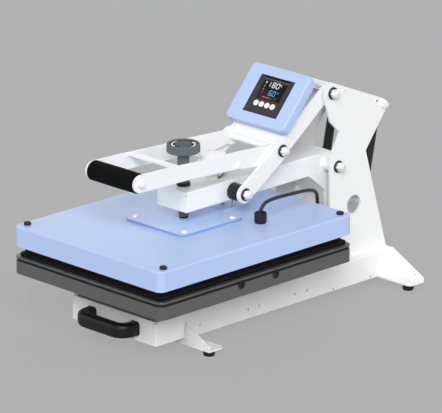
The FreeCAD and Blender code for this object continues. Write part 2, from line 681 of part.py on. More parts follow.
def armature():
    """The iron disc that the magnet holds, screwed to a strap between the lever's plates."""
    top = ARMATURE_Z[1]
    disc = post(0, MAGNET_Y, (top - 10, top), MAGNET_RADIUS)
    disc = disc.makeFillet(1.0, edges_at(disc, lambda b: b.ZMin > top - 0.1))
    disc = disc.cut(box((-3, 3), (MAGNET_Y - 0.7, MAGNET_Y + 0.7), (top - 1.5, top + 1)))
    inner = HANDLE_X[0]
    strap = box((-inner, inner), (MAGNET_Y - 10, MAGNET_Y + 1), (ARMATURE_Z[0], top - 10))
    ends = both(box((inner - 5, inner), (MAGNET_Y - 8, MAGNET_Y + 8), (305, top - 2)))
    return [disc.fuse([strap] + ends).removeSplitter()]


def handle_plates():
    """The two long plates of the lever, bent up at the middle pivot."""
    corners = [
        (GRIP[0], GRIP[1] - 17, 0), (-48, 313.6, 30), (44, 308.7, 60), (131, 301.5, 60), (176, 307.3, 20),
        (220, 316.5, 12), (244.4, 334.7, 12), (326.5, 397.0, 0), (311.0, 423.0, 0), (193.5, 343.0, 0),
        (189, 341.5, 0), (166, 336.2, 20), (83, 340.4, 60), (-22, 343.5, 60), (-99, 347.7, 60),
        (GRIP[0], GRIP[1] + 17, 0),
    ]
    plate = side_profile(corners, HANDLE_X).fuse([pin(HANDLE_X, GRIP, 17.0), pin(HANDLE_X, LEVER_PIVOT, 15.0),
                                                  pin(HANDLE_X, LINK_TOP_PIVOT, 17.0)])
    plate = plate.removeSplitter()
    for centre in (LEVER_PIVOT, LINK_TOP_PIVOT):
        plate = plate.cut(pin((HANDLE_X[0] - 1, HANDLE_X[1] + 1), centre, PIVOT_RADIUS + RUNNING_GAP))
    screws = [side_dome(GRIP, 6.3, 9.0, 5.0), side_dome((MAGNET_Y, 312.7), 5.5, 4.5, 2.6)]
    return both(plate.fuse(screws).removeSplitter())


def side_dome(centre, radius, height, rounding):
    """A round screw head on the outer face of the right handle plate."""
    end = HANDLE_X[1] + height
    head = pin((HANDLE_X[1], end), centre, radius)
    return head.makeFillet(rounding, edges_at(head, lambda b: b.XMin > end - 0.1))


def grip():
    """The foam grip and the tube inside it."""
    foam = pin((-HANDLE_X[0] + 0.5, HANDLE_X[0] - 0.5), GRIP, GRIP_RADIUS)
    return [foam.cut(pin((-HANDLE_X[0], HANDLE_X[0]), GRIP, 11.0))]


def lever_tubes():
    """The tubes that join the handle plates: in the grip, behind it, and at the middle pivot."""
    span = (-HANDLE_X[0], HANDLE_X[0])
    hollow = (-HANDLE_X[0] - 1, HANDLE_X[0] + 1)
    rear = pin(span, LINK_TOP_PIVOT, 7.0)
    return [pin(span, GRIP, 11.0).cut(pin(hollow, GRIP, 9.0)),
            box(span, (-85, -69), (341, 345)),
            rear.cut(pin(hollow, LINK_TOP_PIVOT, 5.0))]


def box_frame():
    """The direction up the control box's face, and the direction into it, as (Y, Z) vectors."""
    up = V(0, BOX_HIGH[0] - BOX_LOW[0], BOX_HIGH[1] - BOX_LOW[1])
    length = up.Length
    up.normalize()
    inward = V(0, up.z, -up.y)
    return up, inward, length


def box_slab(half_x, span, depth, radius, middle_x=0.0):
    """A plate lying in the control box: across, along the slope, and in depth from the face."""
    up, inward, _ = box_frame()
    start = V(0, BOX_LOW[0], BOX_LOW[1]) + inward * depth[0]
    corners = [(middle_x - half_x, span[0], radius), (middle_x + half_x, span[0], radius),
               (middle_x + half_x, span[1], radius), (middle_x - half_x, span[1], radius)]
    face = outline(corners, lambda p: start + V(p.x, 0, 0) + up * p.y)
    return face.extrude(inward * (depth[1] - depth[0]))


def box_post(x, along, depth, radius):
    """A cylinder square to the control box's face."""
    up, inward, _ = box_frame()
    start = V(x, BOX_LOW[0], BOX_LOW[1]) + up * along + inward * depth[0]
    return Part.makeCylinder(radius, depth[1] - depth[0], start, inward)


def control_box_front():
    """The front shell of the control box, with the window for the display panel."""
    length = box_frame()[2]
    outer = box_slab(BOX_HALF_X, (0, length), (0, BOX_DEPTH - 3), 12)
    inner = box_slab(BOX_HALF_X - 2, (2, length - 2), (2.5, BOX_DEPTH), 10)
    window = box_slab(PANEL_HALF_X, PANEL_SPAN, (-1, 3), 0, middle_x=PANEL_MIDDLE_X)
    return [outer.cut(inner).cut(window)]


def control_box_back():
    """The back shell of the control box, and the bracket that stands on the lever's middle tube."""
    length = box_frame()[2]
    plate = box_slab(BOX_HALF_X, (0, length), (BOX_DEPTH - 3, BOX_DEPTH), 12)
    bracket = side_profile([(191.6, 328.0, 0), (194.0, 327.0, 0), (202.6, 350.5, 0), (199.6, 350.5, 0)],
                           (-HANDLE_X[0] + 1, HANDLE_X[0] - 1))
    return [plate.fuse(bracket).removeSplitter()]


def display_panel():
    """The dark panel with the screen and the four button holes."""
    panel = box_slab(PANEL_HALF_X, PANEL_SPAN, (0.3, 2.5), 0, middle_x=PANEL_MIDDLE_X)
    for x in BUTTON_X:
        panel = panel.cut(box_post(x, BUTTON_SPAN, (-1, 4), BUTTON_RADIUS + 0.3))
    return [panel]


def control_board():
    """The circuit board behind the panel, with its four switches and its relay."""
    board = box_slab(60, (14, 112), (9.0, 10.6), 0)
    switches = [box_slab(3, (BUTTON_SPAN - 3, BUTTON_SPAN + 3), (6.6, 9.0), 0, middle_x=x) for x in BUTTON_X]
    relay = box_slab(8, (70, 90), (10.6, 15.0), 0, middle_x=-40)
    return [board.fuse(switches + [relay]).removeSplitter()]


def button(x):
    """One round button with the stem that reaches the board's switch."""
    cap = box_post(x, BUTTON_SPAN, (-1.5, 2.5), BUTTON_RADIUS)
    up, inward, _ = box_frame()
    face = V(0, BOX_LOW[0], BOX_LOW[1]) - inward * 1.5
    cap = cap.makeFillet(0.6, edges_at_plane(cap, face, inward))
    return [cap.fuse(box_post(x, BUTTON_SPAN, (2.5, 5.2), 2.0)).removeSplitter()]


def edges_at_plane(shape, point, normal):
    """The edges that lie in a plane."""
    return [e for e in shape.Edges if all(abs((v.Point - point).dot(normal)) < 0.01 for v in e.Vertexes)
            and abs((e.CenterOfMass - point).dot(normal)) < 0.01]


def spring_axis():
    """The gas spring's direction from its top pin to its foot pin, and the distance between them."""
    along = V(0, SPRING_FOOT_PIN[0] - SPRING_TOP_PIN[0], SPRING_FOOT_PIN[1] - SPRING_TOP_PIN[1])
    length = along.Length
    return along.normalize(), length


def spring_cylinder(start, end, radius):
    """A cylinder on the spring's axis, between two distances from the top pin."""
    along, _ = spring_axis()
    foot = V(SPRING_X, SPRING_TOP_PIN[0], SPRING_TOP_PIN[1]) + along * start
    return Part.makeCylinder(radius, end - start, foot, along)


def gas_tubes():
    """The dark cylinders of the gas springs, with their eyes."""
    eye = pin((SPRING_X - 5, SPRING_X + 5), SPRING_TOP_PIN, 9.0)
    tube = spring_cylinder(14, 152, 9.0).fuse([spring_cylinder(4, 14, 4.5), eye]).removeSplitter()
    tube = tube.cut(spring_cylinder(20, 153, 4.0 + RUNNING_GAP))
    return both(tube.cut(pin((SPRING_X - 9, SPRING_X + 9), SPRING_TOP_PIN, 4.0 + RUNNING_GAP)))


def gas_rods():
    """The rods of the gas springs, each with its foot eye and a short pin beside the lug."""
    _, length = spring_axis()
    rod = spring_cylinder(40, length - 6, 4.0)
    eye = pin((SPRING_X - 5, SPRING_X + 5), SPRING_FOOT_PIN, 8.0)
    stub = pin((LUG_X[1] + 0.5, SPRING_X - 5), SPRING_FOOT_PIN, 5.0)
    return both(rod.fuse([eye, stub]).removeSplitter())


def lead_gland():
    """The block on the right tail lug's tab that takes the lead's inner end."""
    block = box((LUG_X[1], 61), (337, 350), (143, 161))
    block = block.makeFillet(3.0, edges_at(block, lambda b: b.YLength > 12 and b.XMin > 60.9))
    return [block]


def platen_lead():
    """The lead between the gland and the platen's connector."""
    return [tube_along(LEAD_ROUTE, LEAD_RADIUS)]


def parts():
    """Every sub-part's solids, by name."""
    found = {
        "base_channel": base_channel(),
        "front_crossmember": crossmember((BASE_Y[0], BASE_Y[0] + WEB), (BASE_Y[0], -66)),
        "rear_crossmember": crossmember((BASE_Y[1] - WEB, BASE_Y[1]), (438, BASE_Y[1])),
        "rubber_feet": rubber_feet(),
        "side_plates": side_plates(),
        "top_cross_cover": top_cross_cover(),
        "frame_screws": frame_screws(),
        "rear_housing": rear_housing(),
        "power_inlet": power_inlet(),
        "rocker_switch": rocker_switch(),
        "pivot_shafts": pivot_shafts(),
        "pivot_washers": both(washer(WASHER_X, LEVER_PIVOT)) + both(washer(WASHER_X, BEAM_PIVOT)),
        "pivot_bolts": both(pivot_bolt(LEVER_PIVOT, PLATE_X[1])) + both(pivot_bolt(BEAM_PIVOT, PLATE_X[1])),
        "slide_fixed_rails": slide_fixed_rails(),
        "slide_middle_rails": slide_middle_rails(),
        "slide_moving_rails": slide_moving_rails(),
        "drawer_front": drawer_front(),
        "pull_handle": pull_handle(),
        "carriage_riser": carriage_riser(),
        "tray_body": tray_body(),
        "platen_frame": platen_frame(),
        "lower_platen": lower_platen(),
        "silicone_pad": silicone_pad(),
        "platen_lock_screws": platen_lock_screws(),
        "beam": beam(),
        "tail_lugs": tail_lugs(),
        "link_spacers": link_spacers(),
        "link_studs": link_studs(),
        "spindle_nut": spindle_nut(),
        "electromagnet": electromagnet(),
        "armature": armature(),
        "lead_gland": lead_gland(),
        "platen_lead": platen_lead(),
        "platen_cover": platen_cover(),
        "heat_plate": heat_plate(),
        "heating_element": heating_element(),
        "insulation": insulation(),
        "mount_plate": mount_plate(),
        "mount_screws": mount_screws(),
        "corner_caps": corner_caps(),
        "guide_bracket": guide_bracket(),
        "lead_connector": lead_connector(),
        "spindle": spindle(),
        "knob": knob(),
        "handle_plates": handle_plates(),
        "grip": grip(),
        "lever_tubes": lever_tubes(),
        "control_box_front": control_box_front(),
        "control_box_back": control_box_back(),
        "display_panel": display_panel(),
        "control_board": control_board(),
        "links": links(),
        "link_washers": link_washers(),
        "link_bolts": link_bolts(),
        "gas_tubes": gas_tubes(),
        "gas_rods": gas_rods(),
    }
    for number, x in enumerate(BUTTON_X, start=1):
        found[f"button_{number}"] = button(x)
    return found


def main():
    """Moves the footprint's middle to the origin and writes each sub-part."""
    os.makedirs("parts", exist_ok=True)
    whole = FreeCAD.BoundBox()
    for name, solids in parts().items():
        shape = solids[0] if len(solids) == 1 else Part.makeCompound(solids)
        shape.translate(V(0, -MIDDLE_Y, 0))
        whole.add(shape.BoundBox)
        if not shape.isValid() or any(not s.isValid() for s in shape.Solids):
            print("not valid:", name)
        print(f"{name}: {len(shape.Solids)} solids")
        shape.exportStep(f"parts/{name}.step")
    print("footprint", whole)


main()
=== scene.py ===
"""Looks of the clamshell heat press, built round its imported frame.

In the row frame X is across the press, the grip is towards -Y and Z is up, in metres. The pieces are
drawn in millimetres about the spindle axis, and piece() brings them to the row frame.
"""

import json
import math

import bmesh
import bpy
from mathutils import Matrix, Vector

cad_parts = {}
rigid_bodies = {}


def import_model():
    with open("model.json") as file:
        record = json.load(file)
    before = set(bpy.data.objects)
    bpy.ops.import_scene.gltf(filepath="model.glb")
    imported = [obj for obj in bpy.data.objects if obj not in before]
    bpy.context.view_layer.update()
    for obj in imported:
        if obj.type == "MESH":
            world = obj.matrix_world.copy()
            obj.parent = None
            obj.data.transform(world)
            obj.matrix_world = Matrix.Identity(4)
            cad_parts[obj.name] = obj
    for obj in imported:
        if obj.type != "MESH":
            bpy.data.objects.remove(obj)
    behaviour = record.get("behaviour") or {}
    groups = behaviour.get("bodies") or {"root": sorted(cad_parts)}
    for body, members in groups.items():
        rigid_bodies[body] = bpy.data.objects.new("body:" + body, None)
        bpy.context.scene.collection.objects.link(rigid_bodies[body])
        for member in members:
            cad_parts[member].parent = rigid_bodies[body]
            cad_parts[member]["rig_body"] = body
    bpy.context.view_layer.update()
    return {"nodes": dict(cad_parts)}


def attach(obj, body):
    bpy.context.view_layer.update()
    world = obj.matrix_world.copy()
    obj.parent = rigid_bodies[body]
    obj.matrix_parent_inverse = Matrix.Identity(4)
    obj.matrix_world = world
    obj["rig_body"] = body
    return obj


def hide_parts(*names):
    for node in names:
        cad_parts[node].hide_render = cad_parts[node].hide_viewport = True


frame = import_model()

# The camera at the photograph's viewing angle
CAMERA_EYE = Vector((5.781, -5.7164, 2.808))
CAMERA_LOOK = Vector((-0.6783, 0.6688, -0.3044))
CAMERA_LENS = 365.4
CAMERA_SENSOR = 36.0

# The spindle axis in the row frame
SPINDLE_Y = -0.1154

# The platen's lead: control points of its route about the spindle axis, in metres, and its size
LEAD_ROUTE = [
    (0.115, 0.090, 0.224), (0.115, 0.090, 0.234), (0.1153, 0.0955, 0.2425), (0.1156, 0.105, 0.2482),
    (0.1155, 0.126, 0.2504), (0.113, 0.169, 0.248), (0.1055, 0.213, 0.2431), (0.0985, 0.245, 0.2372),
    (0.0905, 0.267, 0.225), (0.0835, 0.276, 0.204), (0.075, 0.286, 0.180), (0.066, 0.297, 0.160),
    (0.058, 0.311, 0.150), (0.053, 0.324, 0.152), (0.053, 0.337, 0.152),
]
LEAD_DIAMETER = 0.007

# Colours of the floor and of the large painted parts
BACKGROUND = (178, 178, 178)
WHITE = (247, 247, 247)
BLUE = (182, 206, 244)
GREY = (89, 89, 90)

# Points of a mesh nearer to each other than this, in metres, are one
WELD = 1e-6


def mm(value):
    """Millimetres as metres."""
    return value / 1000


def srgb(colour, light=1.0):
    """A screen colour as the linear colour that shaders take, made lighter or darker by a factor."""
    parts = [part / 255 for part in colour]
    linear = [part / 12.92 if part <= 0.04045 else ((part + 0.055) / 1.055) ** 2.4 for part in parts]
    return tuple(min(1.0, part * light) for part in linear) + (1.0,)


def add(tree, kind, inputs=(), **fields):
    """A shader node with its fields set and its inputs filled or linked."""
    node = tree.nodes.new("ShaderNode" + kind)
    for field, value in fields.items():
        setattr(node, field, value)
    for socket, value in dict(inputs).items():
        if isinstance(value, bpy.types.NodeSocket):
            tree.links.new(value, node.inputs[socket])
        else:
            node.inputs[socket].default_value = value
    return node


def new_surface(name):
    """A material with a Principled shader: its tree, the shader and the object's coordinates."""
    material = bpy.data.materials.new(name)
    material.use_nodes = True
    tree = material.node_tree
    tree.nodes.clear()
    shader = add(tree, "BsdfPrincipled")
    add(tree, "OutputMaterial", {"Surface": shader.outputs[0]})
    place = add(tree, "TexCoord").outputs["Object"]
    return material, tree, shader, place


def noise(tree, place, scale, detail=2.0, roughness=0.5):
    """A noise value between 0 and 1, about 0.5."""
    inputs = {"Vector": place, "Scale": scale, "Detail": detail, "Roughness": roughness}
    return add(tree, "TexNoise", inputs).outputs["Fac"]


def spread(tree, value, low, high, start=0.0, end=1.0):
    """A value brought from start..end to low..high, and kept there."""
    limits = {"From Min": start, "From Max": end, "To Min": low, "To Max": high}
    return add(tree, "MapRange", {"Value": value, **limits}).outputs["Result"]


def blend_colour(tree, factor, first, second):
    """A mix of two colours by a factor."""
    return add(tree, "Mix", {0: factor, 6: first, 7: second}, data_type="RGBA").outputs[2]


def bump(tree, shader, height, strength, distance):
    """Gives the shader a bump from a height value."""
    node = add(tree, "Bump", {"Height": height, "Strength": strength, "Distance": distance})
    tree.links.new(node.outputs["Normal"], shader.inputs["Normal"])


def tint(tree, shader, factor, first, second, socket="Base Color"):
    """Gives the shader a mix of two colours by a factor."""
    tree.links.new(blend_colour(tree, factor, first, second), shader.inputs[socket])


def roughen(tree, shader, value, low, high, start=0.3, end=0.7):
    """Gives the shader a roughness that follows a value."""
    tree.links.new(spread(tree, value, low, high, start, end), shader.inputs["Roughness"])


def edge_mask(tree, radius):
    """How near the surface is to an edge: 0 on flat ground, up to 1 on the edge."""
    rounded = add(tree, "Bevel", {"Radius": radius}, samples=4).outputs["Normal"]
    flat = add(tree, "NewGeometry").outputs["Normal"]
    dot = add(tree, "VectorMath", {0: rounded, 1: flat}, operation="DOT_PRODUCT").outputs["Value"]
    return spread(tree, dot, 1.0, 0.0, 0.86, 0.998)


def powder_coat(name, colour, roughness):
    """Powder coat: a fine orange peel, a slightly uneven colour, and painted shade that darkens the edges.
    """
    material, tree, shader, place = new_surface(name)
    broad = noise(tree, place, 7.0, 3.0)
    tone = blend_colour(tree, broad, srgb(colour, 0.985), srgb(colour, 1.015))
    # Painted shade: near the edges the colour goes towards a darker copy of itself.
    edge_shade = add(tree, "Math", {0: edge_mask(tree, mm(1.4)), 1: 0.35}, operation="MULTIPLY").outputs[0]
    tint(tree, shader, edge_shade, tone, srgb(colour, 0.82))
    roughen(tree, shader, noise(tree, place, 16.0, 2.0), roughness - 0.015, roughness + 0.02)
    bump(tree, shader, noise(tree, place, 620.0, 1.5), 0.10, mm(0.35))
    return material


def moulded_plastic(name, colour, roughness, grain=900.0, gloss=0.5):
    """Moulded plastic with a fine spark grain."""
    material, tree, shader, place = new_surface(name)
    broad = noise(tree, place, 14.0, 3.0)
    tint(tree, shader, broad, srgb(colour, 0.88), srgb(colour, 1.14))
    roughen(tree, shader, broad, roughness - 0.05, roughness + 0.06)
    shader.inputs["Specular IOR Level"].default_value = gloss
    bump(tree, shader, noise(tree, place, grain, 3.0), 0.16, mm(0.3))
    return material


def rubber_like(name, colour, roughness, gloss=0.4):
    """Rubber or a silicone sheath: matt, a little dusty, with a soft sheen."""
    material, tree, shader, place = new_surface(name)
    dust = noise(tree, place, 60.0, 5.0, 0.65)
    tint(tree, shader, dust, srgb(colour, 0.85), srgb(colour, 1.35))
    roughen(tree, shader, dust, roughness - 0.08, roughness + 0.08)
    shader.inputs["Specular IOR Level"].default_value = gloss
    shader.inputs["Sheen Weight"].default_value = 0.04
    bump(tree, shader, noise(tree, place, 1500.0, 2.0), 0.12, mm(0.2))
    return material


def foam_rubber(name):
    """Closed-cell foam: small pits over a soft, uneven skin."""
    material, tree, shader, place = new_surface(name)
    cells = add(tree, "TexVoronoi", {"Vector": place, "Scale": 620.0, "Randomness": 1.0}, feature="F1")
    pits = spread(tree, cells.outputs["Distance"], 0.0, 1.0, 0.05, 0.5)
    skin = noise(tree, place, 90.0, 4.0, 0.6)
    height = add(tree, "Math", {0: pits, 1: 0.6, 2: skin}, operation="MULTIPLY_ADD").outputs[0]
    tint(tree, shader, pits, srgb((6, 6, 7)), srgb((13, 13, 14)))
    shader.inputs["Roughness"].default_value = 0.86
    shader.inputs["Specular IOR Level"].default_value = 0.1
    bump(tree, shader, height, 0.55, mm(0.5))
    return material


def plated_steel(name, colour, roughness, metal=1.0):
    """Plated or bare metal with a fine grain and soft clouds; metal says how far it is from paint."""
    material, tree, shader, place = new_surface(name)
    cloud = noise(tree, place, 45.0, 4.0)
    tint(tree, shader, cloud, srgb(colour, 0.9), srgb(colour, 1.08))
    shader.inputs["Metallic"].default_value = metal
    roughen(tree, shader, cloud, roughness - 0.07, roughness + 0.07)
    bump(tree, shader, noise(tree, place, 900.0, 3.0, 0.6), 0.08, mm(0.15))
    return material


def dark_steel(name):
    """Blackened steel with a thin film of oil."""
    material, tree, shader, place = new_surface(name)
    cloud = noise(tree, place, 70.0, 5.0, 0.6)
    tint(tree, shader, cloud, srgb((20, 20, 21)), srgb((38, 38, 40)))
    shader.inputs["Metallic"].default_value = 0.35
    roughen(tree, shader, cloud, 0.3, 0.48)
    bump(tree, shader, noise(tree, place, 1100.0, 2.0), 0.1, mm(0.15))
    return material


def fibre_board(name, colour):
    """Pressed board: short fibres lying in the sheet."""
    material, tree, shader, place = new_surface(name)
    flat = add(tree, "Mapping", {"Vector": place, "Scale": (1.0, 0.25, 4.0)}).outputs["Vector"]
    fibres = noise(tree, flat, 420.0, 5.0, 0.7)
    tint(tree, shader, fibres, srgb(colour, 0.75), srgb(colour, 1.3))
    shader.inputs["Roughness"].default_value = 0.8
    bump(tree, shader, fibres, 0.3, mm(0.3))
    return material


def smoked_panel(name, colour, roughness, gloss):
    """The glossy dark front of a display, with a few faint wipe marks."""
    material, tree, shader, place = new_surface(name)
    wipes = add(tree, "Mapping", {"Vector": place, "Scale": (1.0, 0.12, 0.3)}).outputs["Vector"]
    marks = noise(tree, wipes, 160.0, 4.0, 0.6)
    tint(tree, shader, marks, srgb(colour, 0.9), srgb(colour, 1.12))
    roughen(tree, shader, marks, roughness, roughness + 0.1, 0.35, 0.75)
    shader.inputs["Specular IOR Level"].default_value = gloss
    return material


def lit(name, colour, strength):
    """A part of the display that gives its own light, a little uneven like a real backlight."""
    material, tree, shader, place = new_surface(name)
    glow = noise(tree, place, 260.0, 2.0)
    tint(tree, shader, glow, srgb(colour, 0.88), srgb(colour, 1.08), "Emission Color")
    shader.inputs["Base Color"].default_value = srgb((12, 12, 13))
    shader.inputs["Emission Strength"].default_value = strength
    shader.inputs["Roughness"].default_value = 0.3
    return material


# The finishes by slot, and further ones for single pieces; colours are as they look on the screen
MATERIALS = {
    "white_paint": powder_coat("white_paint_coat", WHITE, 0.34),
    "blue_paint": powder_coat("blue_paint_coat", BLUE, 0.38),
    "grey_paint": powder_coat("grey_paint_coat", GREY, 0.42),
    "white_bolt": plated_steel("bolt_plating", (255, 255, 255), 0.26, metal=0.4),
    "black_steel": dark_steel("blackened_steel"),
    "bright_steel": plated_steel("rod_steel", (206, 208, 212), 0.2),
    "rubber": rubber_like("cap_rubber", (17, 17, 18), 0.62),
    "black_plastic": moulded_plastic("moulded_black", (14, 14, 15), 0.46, gloss=0.32),
    "dark_board": fibre_board("frame_board", (16, 16, 17)),
    "fibre_board": fibre_board("insulating_board", (186, 180, 166)),
    "platen_alloy": plated_steel("platen_alloy_skin", (104, 104, 106), 0.42, metal=0.6),
    "heat_plate_coating": moulded_plastic("release_coating", (11, 11, 12), 0.55, 500.0, gloss=0.15),
    "silicone": rubber_like("pad_silicone", (6, 6, 7), 0.75, gloss=0.12),
    "lead_sheath": rubber_like("lead_sheath_skin", (30, 30, 31), 0.38),
    "knob_plastic": moulded_plastic("knob_moulding", (103, 108, 111), 0.62, gloss=0.25),
    # The middle of the knob's top: a darker copy of the knob's plastic, painted shade.
    "knob_top_shade": moulded_plastic("knob_top_shade_moulding", (82, 84, 88), 0.6, gloss=0.25),
    "foam": foam_rubber("grip_foam"),
    "display_gloss": smoked_panel("display_front", (56, 56, 57), 0.5, gloss=0.2),
    "board_green": moulded_plastic("board_resin", (34, 92, 60), 0.35),
    "button_white": moulded_plastic("button_moulding", (244, 244, 244), 0.35),
    "spring_coat": moulded_plastic("spring_coat_satin", (26, 27, 28), 0.38, 700.0),
    "screen_black": smoked_panel("screen_black_glass", (12, 12, 13), 0.3, gloss=0.2),
    "print_grey": moulded_plastic("print_ink", (118, 119, 120), 0.5),
    "spindle_steel": moulded_plastic("phosphated_thread", (116, 115, 113), 0.42, 1100.0),
    # A near-black for the floors of grooves and thread roots: painted shade.
    "groove_shade": moulded_plastic("groove_painted_shade", (22, 23, 24), 0.8, gloss=0.1),
    # The mount plate's side faces: a darker, more saturated copy of the blue, painted shade.
    "blue_side_shade": powder_coat("blue_side_shade_coat", (122, 159, 208), 0.42),
    "lit_white": lit("lit_white_glow", (238, 240, 242), 0.9),
    "lit_cyan": lit("lit_cyan_glow", (35, 175, 215), 0.95),
    "lit_red": lit("lit_red_glow", (214, 44, 30), 0.95),
    "lit_dim": lit("lit_dim_glow", (120, 26, 24), 0.9),
}


# The slot of each CAD node
SLOTS = {node: obj.material_slots[0].material.name for node, obj in frame["nodes"].items()}


def new_object(name, data):
    """An object with its data, in the scene."""
    obj = bpy.data.objects.new(name, data)
    bpy.context.scene.collection.objects.link(obj)
    return obj


def finish_piece(name, mesh, body, slot, material=None, sharp=35.0, replaces=()):
    """Makes an object from a mesh in metres, smooth but for its sharp edges, and rides it on a body."""
    bmesh.ops.remove_doubles(mesh, verts=mesh.verts, dist=WELD)
    bmesh.ops.recalc_face_normals(mesh, faces=mesh.faces)
    data = bpy.data.meshes.new(name)
    mesh.to_mesh(data)
    mesh.free()
    data.shade_smooth()
    data.set_sharp_from_angle(angle=math.radians(sharp))
    data.materials.append(material or MATERIALS[slot])
    obj = new_object(name, data)
    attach(obj, body)
    if replaces:
        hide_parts(*replaces)
    return obj


def piece(name, mesh, body, slot, material=None, sharp=35.0, replaces=()):
    """Makes an object from a mesh in millimetres about the spindle axis."""
    mesh.transform(Matrix.Translation((0, SPINDLE_Y, 0)) @ Matrix.Scale(mm(1), 4))
    return finish_piece(name, mesh, body, slot, material, sharp, replaces)


def second_finish(obj, material, chosen):
    """Gives a second material to the faces that are chosen by a test."""
    obj.data.materials.append(MATERIALS[material])
    for face in obj.data.polygons:
        face.material_index = int(chosen(face))


def off_axis(face):
    """How far a face's middle is from the spindle axis."""
    return math.hypot(face.center.x, face.center.y - SPINDLE_Y)


def softened(node, width, angle=32.0):
    """Replaces a CAD node with the same shape, its edges rounded as paint or moulding rounds them."""
    source = frame["nodes"][node]
    mesh = bmesh.new()
    mesh.from_mesh(source.data)
    bmesh.ops.remove_doubles(mesh, verts=mesh.verts, dist=WELD)
    flat = math.radians(0.5)
    bmesh.ops.dissolve_limit(mesh, angle_limit=flat, verts=mesh.verts, edges=mesh.edges)
    for layer in list(mesh.loops.layers.uv):
        mesh.loops.layers.uv.remove(layer)
    obj = finish_piece(node + "_soft", mesh, source["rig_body"], SLOTS[node], sharp=angle, replaces=(node,))
    custom = obj.data.attributes.get("custom_normal")
    if custom:
        obj.data.attributes.remove(custom)
    bevel = obj.modifiers.new("edges", "BEVEL")
    bevel.width = mm(width)
    bevel.segments = 2
    bevel.limit_method = "ANGLE"
    bevel.angle_limit = math.radians(angle)
    bevel.use_clamp_overlap = True
    bevel.miter_outer = "MITER_ARC"
    weigh = obj.modifiers.new("normals", "WEIGHTED_NORMAL")
    weigh.keep_sharp = True
    return obj


def place_along(centre, direction):
    """The place of a turned piece: its axis goes from centre along direction."""
    turn = Vector(direction).to_track_quat("Z", "Y").to_matrix().to_4x4()
    return Matrix.Translation(Vector(centre)) @ turn


def frame_at(origin, across, up):
    """The place of a flat piece: x runs across, y up, and z out of it."""
    across, up = Vector(across), Vector(up)
    place = Matrix((across, up, across.cross(up))).transposed().to_4x4()
    place.translation = Vector(origin)
    return place


UPRIGHT = Matrix.Identity(4)
ACROSS = (1, 0, 0)
UP = (0, 0, 1)


def polar(radius, degrees):
    """A point of a circle about the axis."""
    turn = math.radians(degrees)
    return (radius * math.cos(turn), radius * math.sin(turn))


def loft(mesh, rings, ends=(False, False)):
    """Skins a row of rings; a ring of one point closes its end, and ends fills open ones."""
    made = [[mesh.verts.new(point) for point in ring] for ring in rings]
    for low, high in zip(made, made[1:]):
        count = max(len(low), len(high))
        for i in range(count):
            j = (i + 1) % count
            corners = []
            for vertex in (low[i % len(low)], low[j % len(low)], high[j % len(high)], high[i % len(high)]):
                if vertex not in corners:
                    corners.append(vertex)
            if len(corners) > 2:
                mesh.faces.new(corners)
    if ends[0]:
        mesh.faces.new(made[0])
    if ends[1]:
        mesh.faces.new(made[-1])


def ring_of(radius, height, place=UPRIGHT, steps=48, sides=0):
    """A ring about the axis: round, or with flat sides whose corners lie on the radius."""
    if not radius:
        return [place @ Vector((0, 0, height))]
    points = []
    for i in range(steps):
        angle = 2 * math.pi * i / steps
        reach = radius
        if sides:
            part = angle % (2 * math.pi / sides) - math.pi / sides
            reach = radius * math.cos(math.pi / sides) / math.cos(part)
        points.append(place @ Vector((reach * math.cos(angle), reach * math.sin(angle), height)))
    return points


def lathe(mesh, profile, place=UPRIGHT, steps=48):
    """Turns (radius, height) points about an axis. A third number makes that ring many-sided."""
    loft(mesh, [ring_of(row[0], row[1], place, steps, *row[2:]) for row in profile])


def plan(half_x, half_y, radius, steps=5, middle=(0.0, 0.0)):
    """A rounded rectangle as (x, y) points."""
    points = []
    for turn, (side_x, side_y) in enumerate(((1, 1), (-1, 1), (-1, -1), (1, -1))):
        for i in range(steps + 1):
            angle = math.pi / 2 * (turn + i / steps)
            points.append((middle[0] + side_x * (half_x - radius) + radius * math.cos(angle),
                           middle[1] + side_y * (half_y - radius) + radius * math.sin(angle)))
    return points


def plan_ring(place, height, *size, **more):
    """A rounded rectangle at a height of a place."""
    return [place @ Vector((x, y, height)) for x, y in plan(*size, **more)]


def block(mesh, half_x, half_y, span, radius, soft, place=UPRIGHT, middle=(0.0, 0.0)):
    """A block with rounded upright edges and softened lower and upper edges, between two heights."""
    rings = []
    for edge, way in ((span[0], 1), (span[1], -1)):
        rows = []
        for i in range(4):
            angle = math.pi / 2 * i / 3
            inset = soft * (1 - math.sin(angle))
            height = edge + way * soft * (1 - math.cos(angle))
            corner = max(radius - inset, 0.05)
            rows.append(plan_ring(place, height, half_x - inset, half_y - inset, corner, middle=middle))
        rings += rows if way == 1 else rows[::-1]
    loft(mesh, rings, ends=(True, True))


def prism(mesh, points, span, place=UPRIGHT):
    """A flat shape of (x, y) points made thick between two heights."""
    loft(mesh, [[place @ Vector((x, y, height)) for x, y in points] for height in span], ends=(True, True))


def bent_path(corners, radius, steps=8):
    """A path along straight runs whose corners are rounded by arcs of one radius."""
    path = [Vector(corners[0])]
    for before, here, after in zip(corners, corners[1:], corners[2:]):
        here = Vector(here)
        back = (Vector(before) - here).normalized()
        on = (Vector(after) - here).normalized()
        half = back.angle(on) / 2
        reach = radius / math.tan(half)
        centre = here + (back + on).normalized() * (radius / math.sin(half))
        start = here + back * reach - centre
        end = here + on * reach - centre
        path += [centre + start.slerp(end, i / steps).normalized() * radius for i in range(steps + 1)]
    return path + [Vector(corners[-1])]


def sweep(mesh, path, section):
    """Carries a section of (side, rise) points along a path, upright all the way."""
    up = Vector(UP)
    rings = []
    for i, point in enumerate(path):
        ahead = (path[min(i + 1, len(path) - 1)] - path[max(i - 1, 0)]).normalized()
        side = ahead.cross(up).normalized()
        rise = side.cross(ahead)
        rings.append([point + side * a + rise * b for a, b in section])
    loft(mesh, rings, ends=(True, True))


def circle(radius, steps=12):
    """A round section."""
    return [polar(radius, 360 * i / steps) for i in range(steps)]


